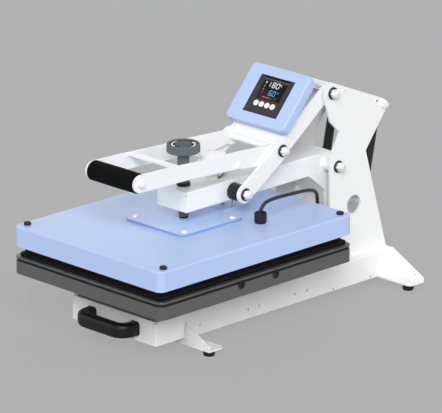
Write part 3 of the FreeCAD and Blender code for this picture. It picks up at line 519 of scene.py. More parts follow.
def dome(radius, height, socket=0.0, depth=1.3, lip=0.22):
    """The outline of a round screw head on an upright lip, with a six-sided socket if it has one."""
    flat = socket + 0.5 if socket else 0.0
    profile = [(0.0, 0.0), (radius, 0.0)]
    for i in range(9):
        angle = math.pi / 2 * i / 8
        reach = flat + (radius - flat) * math.cos(angle)
        profile.append((reach, height * (lip + (1 - lip) * math.sin(angle))))
    if socket:
        profile += [(socket, height, 6), (socket, height - depth, 6), (0.0, height - depth)]
    return profile


def both_sides(x, places):
    """The same (Y, Z) places on both sides of the press, facing outwards."""
    return [((side * x, y, z), (side, 0, 0)) for side in (-1, 1) for y, z in places]


# From here on, places are in millimetres about the spindle axis.
# Centres, as (Y, Z), of the pivots, the grip, the gas springs' pins and the frame's screws:
LEVER_PIVOT = (326.0, 406.5)
LINK_TOP_PIVOT = (190.2, 321.0)
LINK_FOOT_PIVOT = (91.2, 256.0)
BEAM_PIVOT = (342.6, 256.6)
GRIP = (-173.5, 332.5)
SPRING_PIN = (468.0, 356.0)
SPRING_FOOT = (432.0, 182.0)
FRAME_SCREWS = [(355.7, 406), (447.5, 367)]

# The magnet's axis, and where its bare wire goes into the sleeve
MAGNET_Y = 78.0
WIRE_END = (7.4, 98.4, 281.0)

# Heights of the cover's top and of the mount plate's top
COVER_TOP = 210.0
MOUNT_TOP = 214.7

# Outer faces, as distances from the middle: side plates, their washers, lever plates and tray
PLATE_FACE = 73.5
WASHER_FACE = 76
LEVER_FACE = 66
TRAY_FACE = 201.0

# Outlines of turned pieces: radius, height, and the number of flat sides if any
FOOT = [(0, 1.8), (4.0, 1.8), (4.6, 0.3), (5.2, 0), (9.6, 0), (10.4, 0.5), (10.8, 1.6), (11.7, 11.8),
        (12, 12.6), (12, 13.6), (11.6, 14), (0, 14)]
CORNER_CAP = [(0, 0), (7, 0), (7, 3.2), (6.8, 4.2), (6.2, 5), (5.2, 5.4), (4.4, 5.5), (3.6, 5.2), (0, 5.1)]
CAP_NUT = [(6, 0), (8.9, 0, 6), (9.5, 0.5, 6), (9.5, 5.2, 6), (8.8, 6, 6), (8.3, 6.2), (8.3, 7.6), (8, 9.2),
           (7.2, 10.7), (5.8, 11.8), (3.8, 12.4), (1.8, 12.6), (0, 12.6)]
NUT_COLLAR = [(10.1, 240), (12, 240), (12, 278), (12.6, 278), (13, 278.4), (13, 283.4), (12.4, 284),
              (10.7, 284), (10.1, 283.4)]
CONNECTOR = [(0, 210), (11, 210), (11, 212.4), (10.5, 212.8), (10.5, 213.3), (11.8, 213.8), (11.8, 228.8),
             (11.4, 229.9), (10.6, 230.4), (9.2, 230.6), (8.9, 231.1), (8.3, 231.1), (4.4, 219), (4.4, 212),
             (0, 212)]
GLAND_NUT = [(3.6, 0), (6.4, 0, 6), (6.4, 3.4, 6), (5.4, 3.8), (5.2, 6), (4.2, 9), (3.5, 9.4)]
MAGNET = [(0, 278), (12.5, 278), (12.5, 289.6), (13, 290), (24.2, 290), (25, 290.6), (25, 302.4),
          (24.5, 302.8), (24.5, 303.4), (25, 303.8), (25, 308.4), (24.4, 309), (14, 309), (13.6, 308.4),
          (0, 308.4)]
ARMATURE = [(0, 313), (24.4, 313), (25, 313.6), (25, 322.2), (24.7, 322.8), (24.1, 323), (4.4, 323),
            (4.0, 322.6), (4.0, 322.2), (0, 322.2)]
# A dark ring in each notch of the tray's edge, round its lock screw: painted shade.
NOTCH_SHADE = [(4.2, -1.2), (9.2, -1.2), (9.2, 0.1), (4.2, 0.1), (4.2, -1.2)]
PIN_CAP = [(0, 0), (7.8, 0), (7.8, 4.4), (7, 5.4), (5, 5.9), (0, 6.1)]
SOCKET_SHADE = [(0, 0.4), (1.9, 0.4), (1.9, 1.75), (0, 1.75)]
# A dark disc over a dome screw's socket: painted shade.
GROMMET = [(0, 276), (2, 276), (2, 278), (3.2, 278), (3.2, 280.2), (2.6, 281), (0, 281)]
# A dark dot that stands for a small hole: painted shade.
HOLE_SHADE = [(0, -1), (1.1, -1), (1.1, 0.05), (0, 0.05)]
GUIDE_ROD = [(0, 212), (4.6, 212), (4.6, 214.2), (4.2, 214.6), (3, 214.8), (3, 255.4), (2.5, 256), (0, 256)]
LUG_BOSS = [(5.4, 39.9), (14.2, 39.9), (15, 40.7), (15, 44.4), (14.2, 45.1), (5.4, 45.1), (5.4, 39.9)]
SCREW_SEAT = [(8.4, 175), (20, 175), (20, 209.8), (8.4, 209.8), (8.4, 175)]
SCREW_SHANK = [(0, 190), (7.4, 190), (8, 190.6), (8, 215.2), (8.2, 215.4), (8.2, 340), (0, 340)]
KNOB_CORE = [(10.05, 300), (10.05, 284.9), (10.5, 284.5), (11, 284.6), (11.3, 285), (11.3, 305.6),
             (10.9, 306), (10.9, 307), (11.3, 307.4), (11.3, 342.2), (12, 343.4), (13.4, 344), (24, 344)]
# A near-black ring on the floor of the knob's round groove: painted shade.
KNOB_GROOVE_SHADE = [(16.8, 357.3), (26.8, 357.3), (26.8, 358.3), (16.8, 358.3), (16.8, 357.3)]
BUTTON = [(0, -1.6), (5.9, -1.6), (5.9, 0.5), (5.6, 1.0), (4.9, 1.2), (4.0, 1.1), (2.0, 0.95), (0, 0.9)]

# The knob's rim: radius, height, and how far the flutes are cut in, from 0 to 1
KNOB_RIM = [(24, 344, 0), (29.6, 344, 0), (31.0, 344.5, 0.15), (31.7, 345.4, 0.6), (32, 346.8, 1),
            (32, 357.6, 1), (31.7, 359.2, 0.6), (30.9, 360.4, 0.15), (29.8, 361, 0), (27.8, 361, 0),
            (27.2, 360.7, 0), (26.6, 357.4, 0), (17.2, 357.4, 0), (16.6, 357.6, 0), (16.2, 360.4, 0),
            (15.6, 360.8, 0), (0, 360.9, 0)]
KNOB_FLUTES = 24
FLUTE_DEPTH = 1.9


def four_corners(xs, ys, height):
    """Upright places at the corners of a rectangle."""
    return [((x, y, height), UP) for x in xs for y in ys]


# Turned pieces: body, slot, replaced nodes, and each outline with its places
TURNED = {
    "feet_moulded": ("base", "rubber", ("rubber_feet",),
                     [(FOOT, four_corners((-156, 156), (-86, 456), 0))]),
    "cover_corner_caps": ("platen", "rubber", ("corner_caps",),
                          [(CORNER_CAP, four_corners((-184, 184), (-230, 234), COVER_TOP))]),
    "mount_dome_screws": ("platen", "white_bolt", ("mount_screws",),
                          [(dome(6.2, 3.8, 1.7), four_corners((-67, 67), (-63, 63), MOUNT_TOP))]),
    "frame_dome_screws": ("base", "white_bolt", ("frame_screws",),
                          [(dome(3.2, 1.6, 1.2, 1.0), both_sides(PLATE_FACE, FRAME_SCREWS))]),
    # Painted shade: a dark disc over the sockets of the rear frame screws.
    "frame_screw_socket_shades": ("base", "rubber", (),
                            [(SOCKET_SHADE, both_sides(PLATE_FACE, FRAME_SCREWS[1:]))]),
    "spring_pin_caps": ("base", "white_paint", (), [(PIN_CAP, both_sides(PLATE_FACE, [SPRING_PIN]))]),
    "tray_lock_screws": ("drawer", "black_steel", ("platen_lock_screws",),
                         [(dome(3.4, 2.0, 1.4, 1.2), both_sides(198.8, [(-45, 138.6), (45, 138.6)])),
                          # Painted shade: a dark ring fills each notch round the screws.
                          (NOTCH_SHADE, both_sides(TRAY_FACE, [(-45, 139.6), (45, 139.6)]))]),
    "handle_dome_screws": ("lever", "white_bolt", (),
                           [(dome(6.5, 9.2, lip=0.3), both_sides(LEVER_FACE, [GRIP])),
                            (dome(5.7, 4.7), both_sides(LEVER_FACE, [(MAGNET_Y, 312.7)]))]),
    "pivot_cap_nuts": ("base", "white_bolt", ("pivot_bolts",),
                       [(CAP_NUT, both_sides(WASHER_FACE, [LEVER_PIVOT, BEAM_PIVOT]))]),
    "link_cap_nuts": ("link_pair", "white_bolt", ("link_bolts",),
                      [([(0, -15), (6, -15)] + CAP_NUT, both_sides(WASHER_FACE, [LINK_TOP_PIVOT])),
                       ([(0, -8.5), (6, -8.5)] + CAP_NUT, both_sides(WASHER_FACE, [LINK_FOOT_PIVOT]))]),
    "screw_nut_collar": ("arm", "black_steel", ("spindle_nut",),
                         [(NUT_COLLAR + NUT_COLLAR[:1], [((0, 0, 0), UP)])]),
    "lead_plug": ("platen", "rubber", ("lead_connector",), [(CONNECTOR, [((115, 90, 0), UP)])]),
    "lead_gland_nut": ("arm", "black_plastic", (), [(GLAND_NUT, [((53, 337, 152), (0, -1, 0))])]),
    "magnet_coil": ("arm", "white_paint", ("electromagnet",), [(MAGNET, [((0, MAGNET_Y, 0), UP)])]),
}

# How far the edges of each carried-over shape are rounded, in millimetres
SOFT_EDGES = {
    "base_channel": 0.4, "front_crossmember": 0.5, "rear_crossmember": 0.5, "side_plates": 0.8,
    "top_cross_cover": 0.5, "rear_housing": 0.5, "power_inlet": 0.4, "drawer_front": 0.5,
    "carriage_riser": 0.5, "tray_body": 0.4, "platen_frame": 0.4, "lower_platen": 0.6, "silicone_pad": 1.2,
    "platen_cover": 0.3, "heat_plate": 1.0, "beam": 0.5, "link_spacers": 1.0, "links": 0.8,
    "handle_plates": 0.8, "lever_tubes": 0.3, "control_board": 0.2, "lead_gland": 0.6, "link_washers": 0.4,
    "pivot_washers": 0.4, "slide_fixed_rails": 0.3, "slide_middle_rails": 0.3, "slide_moving_rails": 0.3,
}


def make_turned():
    """Every piece that is only turned outlines."""
    for name, (body, slot, nodes, rows) in TURNED.items():
        mesh = bmesh.new()
        for profile, places in rows:
            for centre, direction in places:
                lathe(mesh, profile, place_along(centre, direction))
        piece(name, mesh, body, slot, replaces=nodes)


# The pressure screw's thread: radii of its root and crest, its lead, its span, and steps in a turn
THREAD_ROOT = 8.0
THREAD_CREST = 10.0
THREAD_LEAD = 4.0
THREAD_SPAN = (216.5, 300.0)
THREAD_STEPS = 28


def make_spindle():
    """The pressure screw: a shank, a thread that runs out at both ends, and roots darkened as painted
    shade.
    """
    mesh = bmesh.new()
    lathe(mesh, SCREW_SHANK)
    low, high = THREAD_SPAN
    count = int((high - low) / THREAD_LEAD * THREAD_STEPS)
    rings = []
    for i in range(count + 1):
        turns = i / THREAD_STEPS
        fade = max(0.04, min(1.0, 4 * turns, (count - i) / THREAD_STEPS))
        crest = THREAD_ROOT + (THREAD_CREST - THREAD_ROOT) * fade
        ring = []
        for radius, part in ((THREAD_ROOT, -0.42), (crest, -0.16), (crest, 0.16), (THREAD_ROOT, 0.42)):
            ring.append(Vector((*polar(radius, 360 * turns), low + THREAD_LEAD * (turns + part))))
        rings.append(ring)
    loft(mesh, rings, ends=(True, True))
    screw = piece("pressure_screw", mesh, "screw", "black_steel", MATERIALS["spindle_steel"],
                  replaces=("spindle",))
    # Painted shade: faces nearer the axis than 8.5 mm, including the thread's roots, get the near-black.
    second_finish(screw, "groove_shade", lambda face: off_axis(face) < mm(8.5))


def make_knob():
    """The knob: a fluted rim, a round groove in its top with two arrows and painted shade on its floor, a
    top painted darker as shade, and the hub.
    """
    mesh = bmesh.new()
    steps = KNOB_FLUTES * 14
    rings = [ring_of(radius, height, steps=steps) for radius, height in KNOB_CORE]
    for radius, height, flute in KNOB_RIM:
        ring = []
        for i in range(steps):
            turn = 360 * i / steps
            wave = 0.5 + 0.5 * math.cos(math.radians(KNOB_FLUTES * turn))
            ring.append(Vector((*polar(radius - flute * FLUTE_DEPTH * wave ** 3, turn), height)))
        rings.append(ring if radius else [Vector((0, 0, height))])
    loft(mesh, rings)
    knob = piece("fluted_knob", mesh, "screw", "knob_plastic", sharp=40.0, replaces=("knob",))
    # Painted shade: the middle of the top, where the light from above falls most, is darker.
    second_finish(knob, "knob_top_shade", lambda face: face.center.z > mm(360.3) and off_axis(face) < mm(15.9))
    # Painted shade: a near-black ring on the groove's floor, under the arrows.
    mesh = bmesh.new()
    lathe(mesh, KNOB_GROOVE_SHADE, steps=96)
    piece("knob_groove_shade", mesh, "screw", "knob_plastic", MATERIALS["groove_shade"])
    mesh = bmesh.new()
    for start in (-8.0, 172.0):
        turns = [start + 76.0 * i / 14 for i in range(15)]
        shaft = [polar(23.4, turn) for turn in turns] + [polar(20.4, turn) for turn in turns[::-1]]
        prism(mesh, shaft, (358.0, 358.7))
        head = [polar(25.8, start + 75.0), polar(21.9, start + 96.0), polar(18, start + 75.0)]
        prism(mesh, head, (358.0, 358.8))
    piece("knob_arrows", mesh, "screw", "button_white")


def make_grip():
    """The foam sleeve, a little crowned, with rolled ends."""
    mesh = bmesh.new()
    length = 121
    rolled = [(11.2, 0.8), (13, 0.2), (17.2, 0), (18.4, 0.5), (19.1, 1.7)]
    crowned = [(19.2 + 0.35 * math.sin(math.pi * i / 12), 3 + 115 * i / 12) for i in range(13)]
    profile = rolled + crowned + [(radius, length - height) for radius, height in rolled[::-1]]
    lathe(mesh, profile, place_along((-length / 2, *GRIP), ACROSS), steps=64)
    grip = piece("foam_grip", mesh, "lever", "foam", replaces=("grip",))


def make_pull():
    """The moulded pull: an oval bar with wide bends, and a foot where each leg meets the drawer."""
    half, front, back, height = 58.5, -216.0, -183.0, 53.0
    section = []
    for i in range(32):
        c, s = polar(1, 360 * i / 32)
        section.append((12 * math.copysign(abs(c) ** 0.62, c), 14 * math.copysign(abs(s) ** 0.62, s)))
    mesh = bmesh.new()
    corners = [(half, back, height), (half, front, height), (-half, front, height), (-half, back, height)]
    sweep(mesh, bent_path(corners, 21.0, 12), section)
    for x in (-half, half):
        block(mesh, 12.5, 14.5, (0, 1.4), 7.2, 0.6, frame_at((x, back, height), ACROSS, UP))
    piece("drawer_pull", mesh, "drawer", "black_plastic", sharp=50.0, replaces=("pull_handle",))


def make_wire():
    """The magnet's wire along the beam, its white sleeve and its grommet."""
    line = 279.2
    mesh = bmesh.new()
    sweep(mesh, bent_path([(10, 78, line), (16.4, 80, line + 0.2), WIRE_END], 2.0), circle(1.2))
    lathe(mesh, GROMMET, place_along((0, 148, 0), UP))
    piece("magnet_wire", mesh, "arm", "lead_sheath")
    mesh = bmesh.new()
    path = bent_path([WIRE_END, (2.5, 109, line + 0.4), (0, 120, line), (0, 146, line)], 6.0)
    sweep(mesh, path, circle(1.5))
    piece("magnet_sleeve", mesh, "arm", "button_white")


def make_armature():
    """The disc that the magnet holds, its strap between the lever's plates, and the slot in its top, whose
    floor is a dark piece as painted shade.
    """
    mesh = bmesh.new()
    lathe(mesh, ARMATURE, place_along((0, MAGNET_Y, 0), UP), steps=64)
    block(mesh, 60.9, 5.5, (309.5, 313), 1.0, 0.4, middle=(0, MAGNET_Y - 4.5))
    for x in (-58, 58):
        block(mesh, 2.9, 8, (305, 321), 1.0, 0.5, middle=(x, MAGNET_Y))
    for side in (-1, 1):
        arc = [math.radians(10 + 10 * i) for i in range(17)]
        half_moon = [(3.7 * math.cos(a), MAGNET_Y + side * (0.25 + 3.1 * math.sin(a))) for a in arc]
        prism(mesh, half_moon, (322.1, 323))
    piece("armature_disc", mesh, "lever", "white_paint", replaces=("armature",))
    # Painted shade: a dark piece on the floor of the slot.
    mesh = bmesh.new()
    block(mesh, 3.9, 0.5, (321.9, 322.4), 0.2, 0.05, middle=(0, MAGNET_Y))
    piece("armature_slot_shade", mesh, "lever", "black_steel")


def make_hole_shade():
    """A dark dot on the beam's front face: painted shade for its small drain hole."""
    mesh = bmesh.new()
    lathe(mesh, HOLE_SHADE, place_along((37.8, -30, 272), (0, -1, 0)), steps=16)
    piece("beam_hole_shade", mesh, "arm", "black_plastic")


def make_guide():
    """The guide's foot on the cover, and its two steel rods with their collars."""
    mesh = bmesh.new()
    block(mesh, 19.5, 32, (COVER_TOP, 212.5), 2, 0.4, middle=(0, 118))
    piece("guide_foot", mesh, "platen", "blue_paint", replaces=("guide_bracket",))
    mesh = bmesh.new()
    for x in (-14, 14):
        lathe(mesh, GUIDE_ROD, place_along((x, 118, 0), UP))
    piece("guide_rods", mesh, "platen", "bright_steel")


def make_springs():
    """The gas springs: a dark cylinder with a rolled end and an eye, and a bright rod with its eye."""
    top = Vector((0, *SPRING_PIN))
    foot = Vector((0, *SPRING_FOOT))
    along = (foot - top).normalized()
    length = (foot - top).length
    tube = [(0, 5), (4.4, 5), (4.4, 13.4), (6.8, 14), (8.4, 14.8), (9, 16.2), (9, 139), (8.5, 140),
            (8.5, 141.6), (9, 142.6), (9, 148.6), (8.4, 150.6), (6.6, 151.8), (5.2, 152), (4.6, 151.4),
            (4.6, 146), (0, 146)]
    rod = [(0, 145), (4, 145), (4, length - 13), (5.2, length - 12.6), (5.2, length - 6), (0, length - 6)]
    tube_eye = [(4.1, -4.6), (4.6, -5), (8.4, -5), (9, -4.4), (9, 4.4), (8.4, 5), (4.6, 5), (4.1, 4.6),
                (4.1, -4.6)]
    rod_eye = [(0, -4.9), (7.4, -4.9), (8, -4.3), (8, 4.3), (7.4, 4.9), (0, 4.9)]
    stud = [(0, 4.8), (5, 4.8), (5, 9.1), (4.7, 9.5), (0, 9.5)]
    tubes, rods = bmesh.new(), bmesh.new()
    for side in (-1, 1):
        across = Vector((55.0 * side, 0, 0))
        lathe(tubes, tube, place_along(top + across, along))
        lathe(tubes, tube_eye, place_along(top + across, ACROSS))
        lathe(rods, rod, place_along(top + across, along))
        lathe(rods, rod_eye, place_along(foot + across, ACROSS))
        lathe(rods, stud, place_along(foot + across, (-side, 0, 0)))
    piece("spring_cylinders", tubes, "spring_tubes", "black_steel", MATERIALS["spring_coat"],
          replaces=("gas_tubes",))
    piece("spring_piston_rods", rods, "spring_rods", "bright_steel", replaces=("gas_rods",))


# The control box: x across, y up the slope, z out of its face; and the display panel's place on it
BOX = frame_at((0, 183.5, 360), ACROSS, Vector((0, 81, 93)).normalized())
BOX_HALF = (78.0, 123.33 / 2)
BOX_DEEP = 20
PANEL_MIDDLE = (2.4, 62.1)
PANEL_HALF = (44.6, 40.1)


def box_rings(rows):
    """The control box's outline at (inset, height) rows."""
    wide, tall = BOX_HALF
    return [plan_ring(BOX, height, wide - inset, tall - inset, 12 - inset, steps=8, middle=(0.0, tall))
            for inset, height in rows]


def make_box_shells():
    """The blue front shell with its window, the back shell with screws and dark strips as painted shade for
    its slots, and the bracket.
    """
    mesh = bmesh.new()
    front = [(0.7, -16.6), (0.1, -16.2), (0, -15.6), (0, -3.2)]
    for i in range(1, 7):
        angle = math.pi / 2 * i / 6
        front.append((3.2 * (1 - math.cos(angle)), -3.2 + 3.2 * math.sin(angle)))
    wide, tall = PANEL_HALF
    window = [plan_ring(BOX, height, wide + grow, tall + grow, 0.8, steps=8, middle=PANEL_MIDDLE)
              for grow, height in ((0.7, 0), (0.4, -0.3), (0.4, -3.4))]
    loft(mesh, box_rings(front) + window, ends=(True, True))
    piece("box_front_shell", mesh, "lever", "blue_paint", replaces=("control_box_front",))
    mesh = bmesh.new()
    back = [(2.4, -BOX_DEEP), (1.2, -19.8), (0.3, -19), (0, -18), (0, -17.5), (0.5, -17)]
    loft(mesh, box_rings(back), ends=(True, True))
    piece("box_back_shell", mesh, "lever", "blue_paint", replaces=("control_box_back",))
    behind = BOX @ Matrix.Translation((0, 0, -BOX_DEEP)) @ Matrix.Rotation(math.pi, 4, "Y")
    mesh = bmesh.new()
    for x in (-66, 66):
        for y in (12, 111.3):
            lathe(mesh, dome(3.0, 1.4, 1.1, 0.9), behind @ Matrix.Translation((x, y, 0)))
    piece("box_back_screws", mesh, "lever", "white_bolt")
    mesh = bmesh.new()
    # Painted shade: dark strips on the back shell stand for its slots.
    for i in range(7):
        block(mesh, 17, 1.1, (0, 0.35), 1.0, 0.15, behind, middle=(0, 56 + 6 * i))
    piece("box_back_slot_shades", mesh, "lever", "black_plastic")
    mesh = bmesh.new()
    foot = Vector((0, 192.8, 327.6))
    top = Vector((0, 201.2, 350.2))
    rise = (top - foot).normalized()
    sheet = frame_at((foot + top) / 2, ACROSS, rise)
    block(mesh, 59.9, (top - foot).length / 2, (-1.2, 1.2), 1.5, 0.4, sheet)
    piece("box_bracket", mesh, "lever", "white_paint")


# The outline of a tail lug, as (Y, Z)
LUG = [(296, 238.4), (330, 209), (350, 191), (368, 178), (386, 169.4), (402, 165), (416, 163.6),
       (424, 167.4), (436, 167.2), (446.6, 184), (440, 195), (424, 206), (404, 222), (388, 240), (374, 266),
       (362, 276), (352, 276), (350, 238.4)]


def make_lugs():
    """The two plates that reach back from the beam's lower edge, and the tab on the right one."""
    mesh = bmesh.new()
    for side in (-1, 1):
        upright = Matrix(((0, 0, side, 0), (1, 0, 0, 0), (0, 1, 0, 0), (0, 0, 0, 1)))
        prism(mesh, LUG, (40, 45), upright)
        lathe(mesh, LUG_BOSS, place_along((0, *SPRING_FOOT), (side, 0, 0)))
    block(mesh, 2.4, 6.5, (141, 212), 0.6, 0.5, middle=(42.5, 343.5))
    piece("lug_plates", mesh, "arm", "white_paint", replaces=("tail_lugs",))


def make_mount():
    """The mount plate, its side faces painted a deeper blue as painted shade, and the round seat under it
    for the screw's foot.
    """
    mesh = bmesh.new()
    rows = ((0.4, 209.9), (0, 210.3), (0, 214.2), (0.15, 214.55), (0.5, MOUNT_TOP))
    rings = [plan_ring(UPRIGHT, height, 79.5 - inset, 80.5 - inset, 12 - inset, steps=8)
             for inset, height in rows]
    loft(mesh, rings, ends=(True, True))
    plate = piece("mount_sheet", mesh, "platen", "blue_paint", replaces=("mount_plate",))
    # Painted shade: the plate's upright side faces get the darker blue.
    second_finish(plate, "blue_side_shade", lambda face: abs(face.normal.z) < 0.5)
    mesh = bmesh.new()
    lathe(mesh, SCREW_SEAT, steps=64)
    piece("mount_seat", mesh, "platen", "black_steel")


# The display: its surface, a little below the box's face, the span of its marks, and each sign's strokes
SCREEN = BOX @ Matrix.Translation((0, 0, -0.64))
MARK = (0.0, 0.2)
SEGMENTS = {"0": "abcdef", "1": "bc", "6": "acdefg", "8": "abcdefg", "C": "adef", "s": "acdfg"}


def stroke(mesh, start, end, width):
    """A straight segment with pointed ends on the display."""
    start, end = Vector(start), Vector(end)
    ahead = (end - start).normalized() * width / 2
    side = Vector((-ahead.y, ahead.x))
    points = [start, start + ahead + side, end - ahead + side]
    points += [end, end - ahead - side, start + ahead - side]
    prism(mesh, [tuple(point) for point in points], MARK, SCREEN)


def digit(mesh, sign, x, y, wide, tall, width):
    """A seven-segment sign about a centre."""
    left, right, low, high = x - wide / 2, x + wide / 2, y - tall / 2, y + tall / 2
    gap = width * 0.12
    ends = {"a": ((left, high), (right, high)), "b": ((right, y), (right, high)),
            "c": ((right, low), (right, y)), "d": ((left, low), (right, low)),
            "e": ((left, low), (left, y)), "f": ((left, y), (left, high)), "g": ((left, y), (right, y))}
    for name in SEGMENTS[sign]:
        start, end = (Vector(point) for point in ends[name])
        ahead = (end - start).normalized() * gap
        stroke(mesh, start + ahead, end - ahead, width)


def spot(mesh, x, y, radius, inner=0.0, sides=0):
    """A small round or many-sided mark on the display, or a ring."""
    low, high = MARK
    profile = [(inner, low), (radius, low, sides), (radius, high, sides), (inner, high)]
    if inner:
        profile.append(profile[0])
    lathe(mesh, profile, SCREEN @ Matrix.Translation((x, y, 0)), steps=24)


def make_display():
    """The panel, a dark ring in the gap round it as painted shade, its black screen with a dark strip along
    its top as painted shade, a line, and the lit figures and signs.
    """
    mesh = bmesh.new()
    wide, tall = PANEL_HALF
    # Painted shade: a near-black ring in the gap between the panel and the window.
    rings = [plan_ring(BOX, height, wide - inset, tall - inset, 0.6, middle=PANEL_MIDDLE)
             for inset, height in ((0.2, -1.9), (0.2, -0.9), (2.4, -0.9), (2.4, -1.9), (0.2, -1.9))]
    loft(mesh, rings)
    piece("display_gap_shade", mesh, "lever", "display_gloss", MATERIALS["screen_black"],
          replaces=("display_panel",))
    mesh = bmesh.new()
    block(mesh, wide - 1.5, tall - 1.5, (-1.0, -0.7), 0.8, 0.12, BOX, middle=PANEL_MIDDLE)
    piece("display_sheet", mesh, "lever", "display_gloss")
    mesh = bmesh.new()
    block(mesh, 31.4, 19.4, (-0.75, -0.6), 0.8, 0.05, BOX, middle=(2.6, 72.9))
    # Painted shade: a dark strip along the top of the panel.
    block(mesh, 33.0, 2.8, (-0.75, -0.62), 0.6, 0.03, BOX, middle=(2.4, 98.9))
    piece("display_screen", mesh, "lever", "display_gloss", MATERIALS["screen_black"])
    mesh = bmesh.new()
    prism(mesh, [(-30.6, 95.9), (35, 95.9), (35, 96.7), (-30.6, 96.7)], (0, 0.1), SCREEN)
    piece("display_line", mesh, "lever", "display_gloss", MATERIALS["print_grey"])
    white, cyan, red, dim = (bmesh.new() for _ in range(4))
    for sign, x in (("1", -12.0), ("8", 1.0), ("0", 11.5)):
        digit(white, sign, x, 86.0, 6.6, 10.4, 2.0)
    spot(white, 17.0, 89.2, 1.1, 0.5)
    digit(white, "C", 20.0, 88.2, 2.4, 3.6, 0.8)
    spot(white, -20.2, 88.6, 1.9)
    for sign, x in (("6", 1.6), ("0", 11.0)):
        digit(cyan, sign, x, 68.9, 6.2, 10.4, 1.9)
    digit(cyan, "s", 20.0, 72.0, 2.2, 3.4, 0.7)
    spot(cyan, -19.5, 73.4, 1.7, 0.7)
    stroke(red, (-20.4, 77.4), (-20.4, 84.2), 2.6)
    spot(red, 9.8, 57.7, 2.4, sides=3)
    prism(red, [(-13.6, 56.9), (6.0, 56.9), (6.0, 59.4), (-13.6, 59.4)], MARK, SCREEN)
    spot(dim, -19.2, 66.9, 2.6, 1.3)
    spot(dim, 19.7, 59.1, 2.9, 1.7)
    for name, part in (("white", white), ("cyan", cyan), ("red", red), ("dim", dim)):
        piece("display_" + name, part, "lever", "display_gloss", MATERIALS["lit_" + name])


# The buttons' places across the box's face, and how far up it they are
BUTTON_X = (-19.0, -4.5, 10.1, 24.6)
BUTTON_UP = 42.8


def make_buttons():
    """Four dished round buttons, with a plain arrow up on the first and down on the last."""
    for number, (letter, x) in enumerate(zip("abcd", BUTTON_X), start=1):
        body = f"button_{letter}"
        place = BOX @ Matrix.Translation((x, BUTTON_UP, 0))
        mesh = bmesh.new()
        lathe(mesh, BUTTON, place)
        piece(f"button_{number}_cap", mesh, body, "button_white", replaces=(f"button_{number}",))
        if letter in "ad":
            way = 1 if letter == "a" else -1
            arrow = [(-1.5, -0.9 * way), (1.5, -0.9 * way), (0, 1.5 * way)]
            mesh = bmesh.new()
            prism(mesh, arrow[::way], (0.9, 1.15), place)
            piece(f"button_{number}_sign", mesh, body, "display_gloss", MATERIALS["print_grey"])


def make_switch():
    """The rocker with rounded edges, and a plain bar on it."""
    softened("rocker_switch", 0.6)
    face = frame_at((31, 460.4, 94), (-1, 0, 0), (0, 0.1, 0.995))
    mesh = bmesh.new()
    prism(mesh, [(-0.5, 1.2), (0.5, 1.2), (0.5, 4.0), (-0.5, 4.0)], (-0.4, 0.25), face)
    piece("switch_marks", mesh, "rocker", "button_white")


def make_pieces():
    """Every piece but the lead."""
    make_turned()
    make_spindle()
    make_knob()
    make_grip()
    make_pull()
    make_wire()
    make_armature()
    make_hole_shade()
    make_guide()
    make_springs()
    make_box_shells()
    make_lugs()
    make_mount()
    make_display()
    make_buttons()
    make_switch()
    for node, width in SOFT_EDGES.items():
        obj = softened(node, width)


def make_camera():
    """The camera at the photograph's viewing angle."""
    data = bpy.data.cameras.new("camera")
    data.lens = CAMERA_LENS
    data.sensor_width = CAMERA_SENSOR
    data.clip_end = 100
    camera = new_object("camera", data)
    camera.location = CAMERA_EYE
    camera.rotation_mode = "QUATERNION"
    camera.rotation_quaternion = CAMERA_LOOK.to_track_quat("-Z", "Y")
    bpy.context.scene.camera = camera


# Light: the strength of the sky, and each lamp's azimuth, height and width in degrees and its strength
SKY_LIGHT = 0.27
LAMPS = {
    "key": (44.0, 34.0, 34.0, 2.46),
    "right_fill": (120.0, 22.0, 40.0, 0.66),
    "left_fill": (-50.0, 18.0, 50.0, 0.62),
    "rear_fill": (215.0, 25.0, 60.0, 0.6),
}

# The floor: half its width, and how far it is seen as the plain background
FLOOR_HALF = 60.0
FLOOR_PLAIN_SHARE = 0.82


def shown_rays(tree):
    """1 for the rays by which a thing is seen, straight, in gloss or through glass, and else 0."""
    path = add(tree, "LightPath").outputs
    seen = path["Is Camera Ray"]
    for kind in ("Is Transmission Ray", "Is Glossy Ray"):
        seen = add(tree, "Math", {0: seen, 1: path[kind]}, operation="MAXIMUM").outputs[0]
    return seen


def make_world():
    """A pale even sky for light, which is seen as the plain background."""
    world = bpy.data.worlds.new("studio")
    bpy.context.scene.world = world
    world.use_nodes = True
    tree = world.node_tree
    tree.nodes.clear()
    sky = add(tree, "Background", {"Color": (0.99, 0.995, 1.0, 1.0), "Strength": SKY_LIGHT})
    shown = add(tree, "Background", {"Color": srgb(BACKGROUND), "Strength": 1.0})
    mix = add(tree, "MixShader", {0: shown_rays(tree), 1: sky.outputs[0], 2: shown.outputs[0]})
    add(tree, "OutputWorld", {"Surface": mix.outputs[0]})


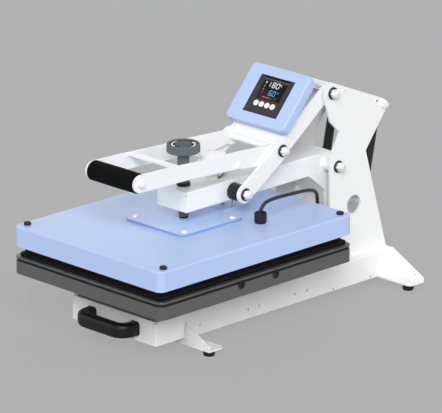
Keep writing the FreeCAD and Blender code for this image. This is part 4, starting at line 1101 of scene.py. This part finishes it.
def make_floor():
    """A wide plain floor: mostly an even grey as it is seen, with part of its real shadow."""
    mesh = bmesh.new()
    corners = [(x * FLOOR_HALF, y * FLOOR_HALF, 0) for x, y in ((-1, -1), (1, -1), (1, 1), (-1, 1))]
    mesh.faces.new([mesh.verts.new(corner) for corner in corners])
    data = bpy.data.meshes.new("floor")
    mesh.to_mesh(data)
    mesh.free()
    floor = new_object("floor", data)
    material, tree, shader, place = new_surface("floor_grey")
    tint(tree, shader, noise(tree, place, 3.0, 3.0), srgb(BACKGROUND, 0.99), srgb(BACKGROUND, 1.01))
    shader.inputs["Roughness"].default_value = 0.9
    shader.inputs["Specular IOR Level"].default_value = 0.1
    share = add(tree, "Math", {0: shown_rays(tree), 1: FLOOR_PLAIN_SHARE}, operation="MULTIPLY")
    plain = add(tree, "Emission", {"Color": srgb(BACKGROUND), "Strength": 1.0})
    mix = add(tree, "MixShader", {0: share.outputs[0], 1: shader.outputs[0], 2: plain.outputs[0]})
    output = [node for node in tree.nodes if node.type == "OUTPUT_MATERIAL"][0]
    tree.links.new(mix.outputs[0], output.inputs["Surface"])
    data.materials.append(material)


def make_lamps():
    """Broad soft lamps. Azimuth 0 stands in front of the press, at -Y, and 90 at +X."""
    for name, (azimuth, height, width, strength) in LAMPS.items():
        data = bpy.data.lights.new(name, "SUN")
        data.energy = strength
        data.angle = math.radians(width)
        lamp = new_object(name, data)
        a, e = math.radians(azimuth), math.radians(height)
        source = Vector((math.sin(a) * math.cos(e), -math.cos(a) * math.cos(e), math.sin(e)))
        lamp.rotation_mode = "QUATERNION"
        lamp.rotation_quaternion = source.to_track_quat("Z", "Y")
        lamp.location = source * 3


def make_lead():
    """The limp lead from the platen's connector round to the gland on the beam's tail."""
    data = bpy.data.curves.new("platen_lead_line", "CURVE")
    data.dimensions = "3D"
    spline = data.splines.new("NURBS")
    spline.points.add(len(LEAD_ROUTE) - 1)
    for point, (x, y, z) in zip(spline.points, LEAD_ROUTE):
        point.co = (x, y + SPINDLE_Y, z, 1.0)
    spline.order_u = 3
    spline.use_endpoint_u = True
    spline.resolution_u = 16
    data.bevel_depth = LEAD_DIAMETER / 2
    data.bevel_resolution = 6
    data.materials.append(MATERIALS["lead_sheath"])
    lead = new_object("platen_lead_line", data)
    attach(lead, "arm")
    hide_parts("platen_lead")
    x, y, z = LEAD_ROUTE[0]


# Every CAD node gets the finish of its slot; most are then replaced
for node, obj in frame["nodes"].items():
    obj.data.materials.clear()
    obj.data.materials.append(MATERIALS[SLOTS[node]])

make_camera()
make_world()
make_floor()
make_lamps()
make_lead()
make_pieces()

scene = bpy.context.scene
scene.view_settings.view_transform = "Standard"
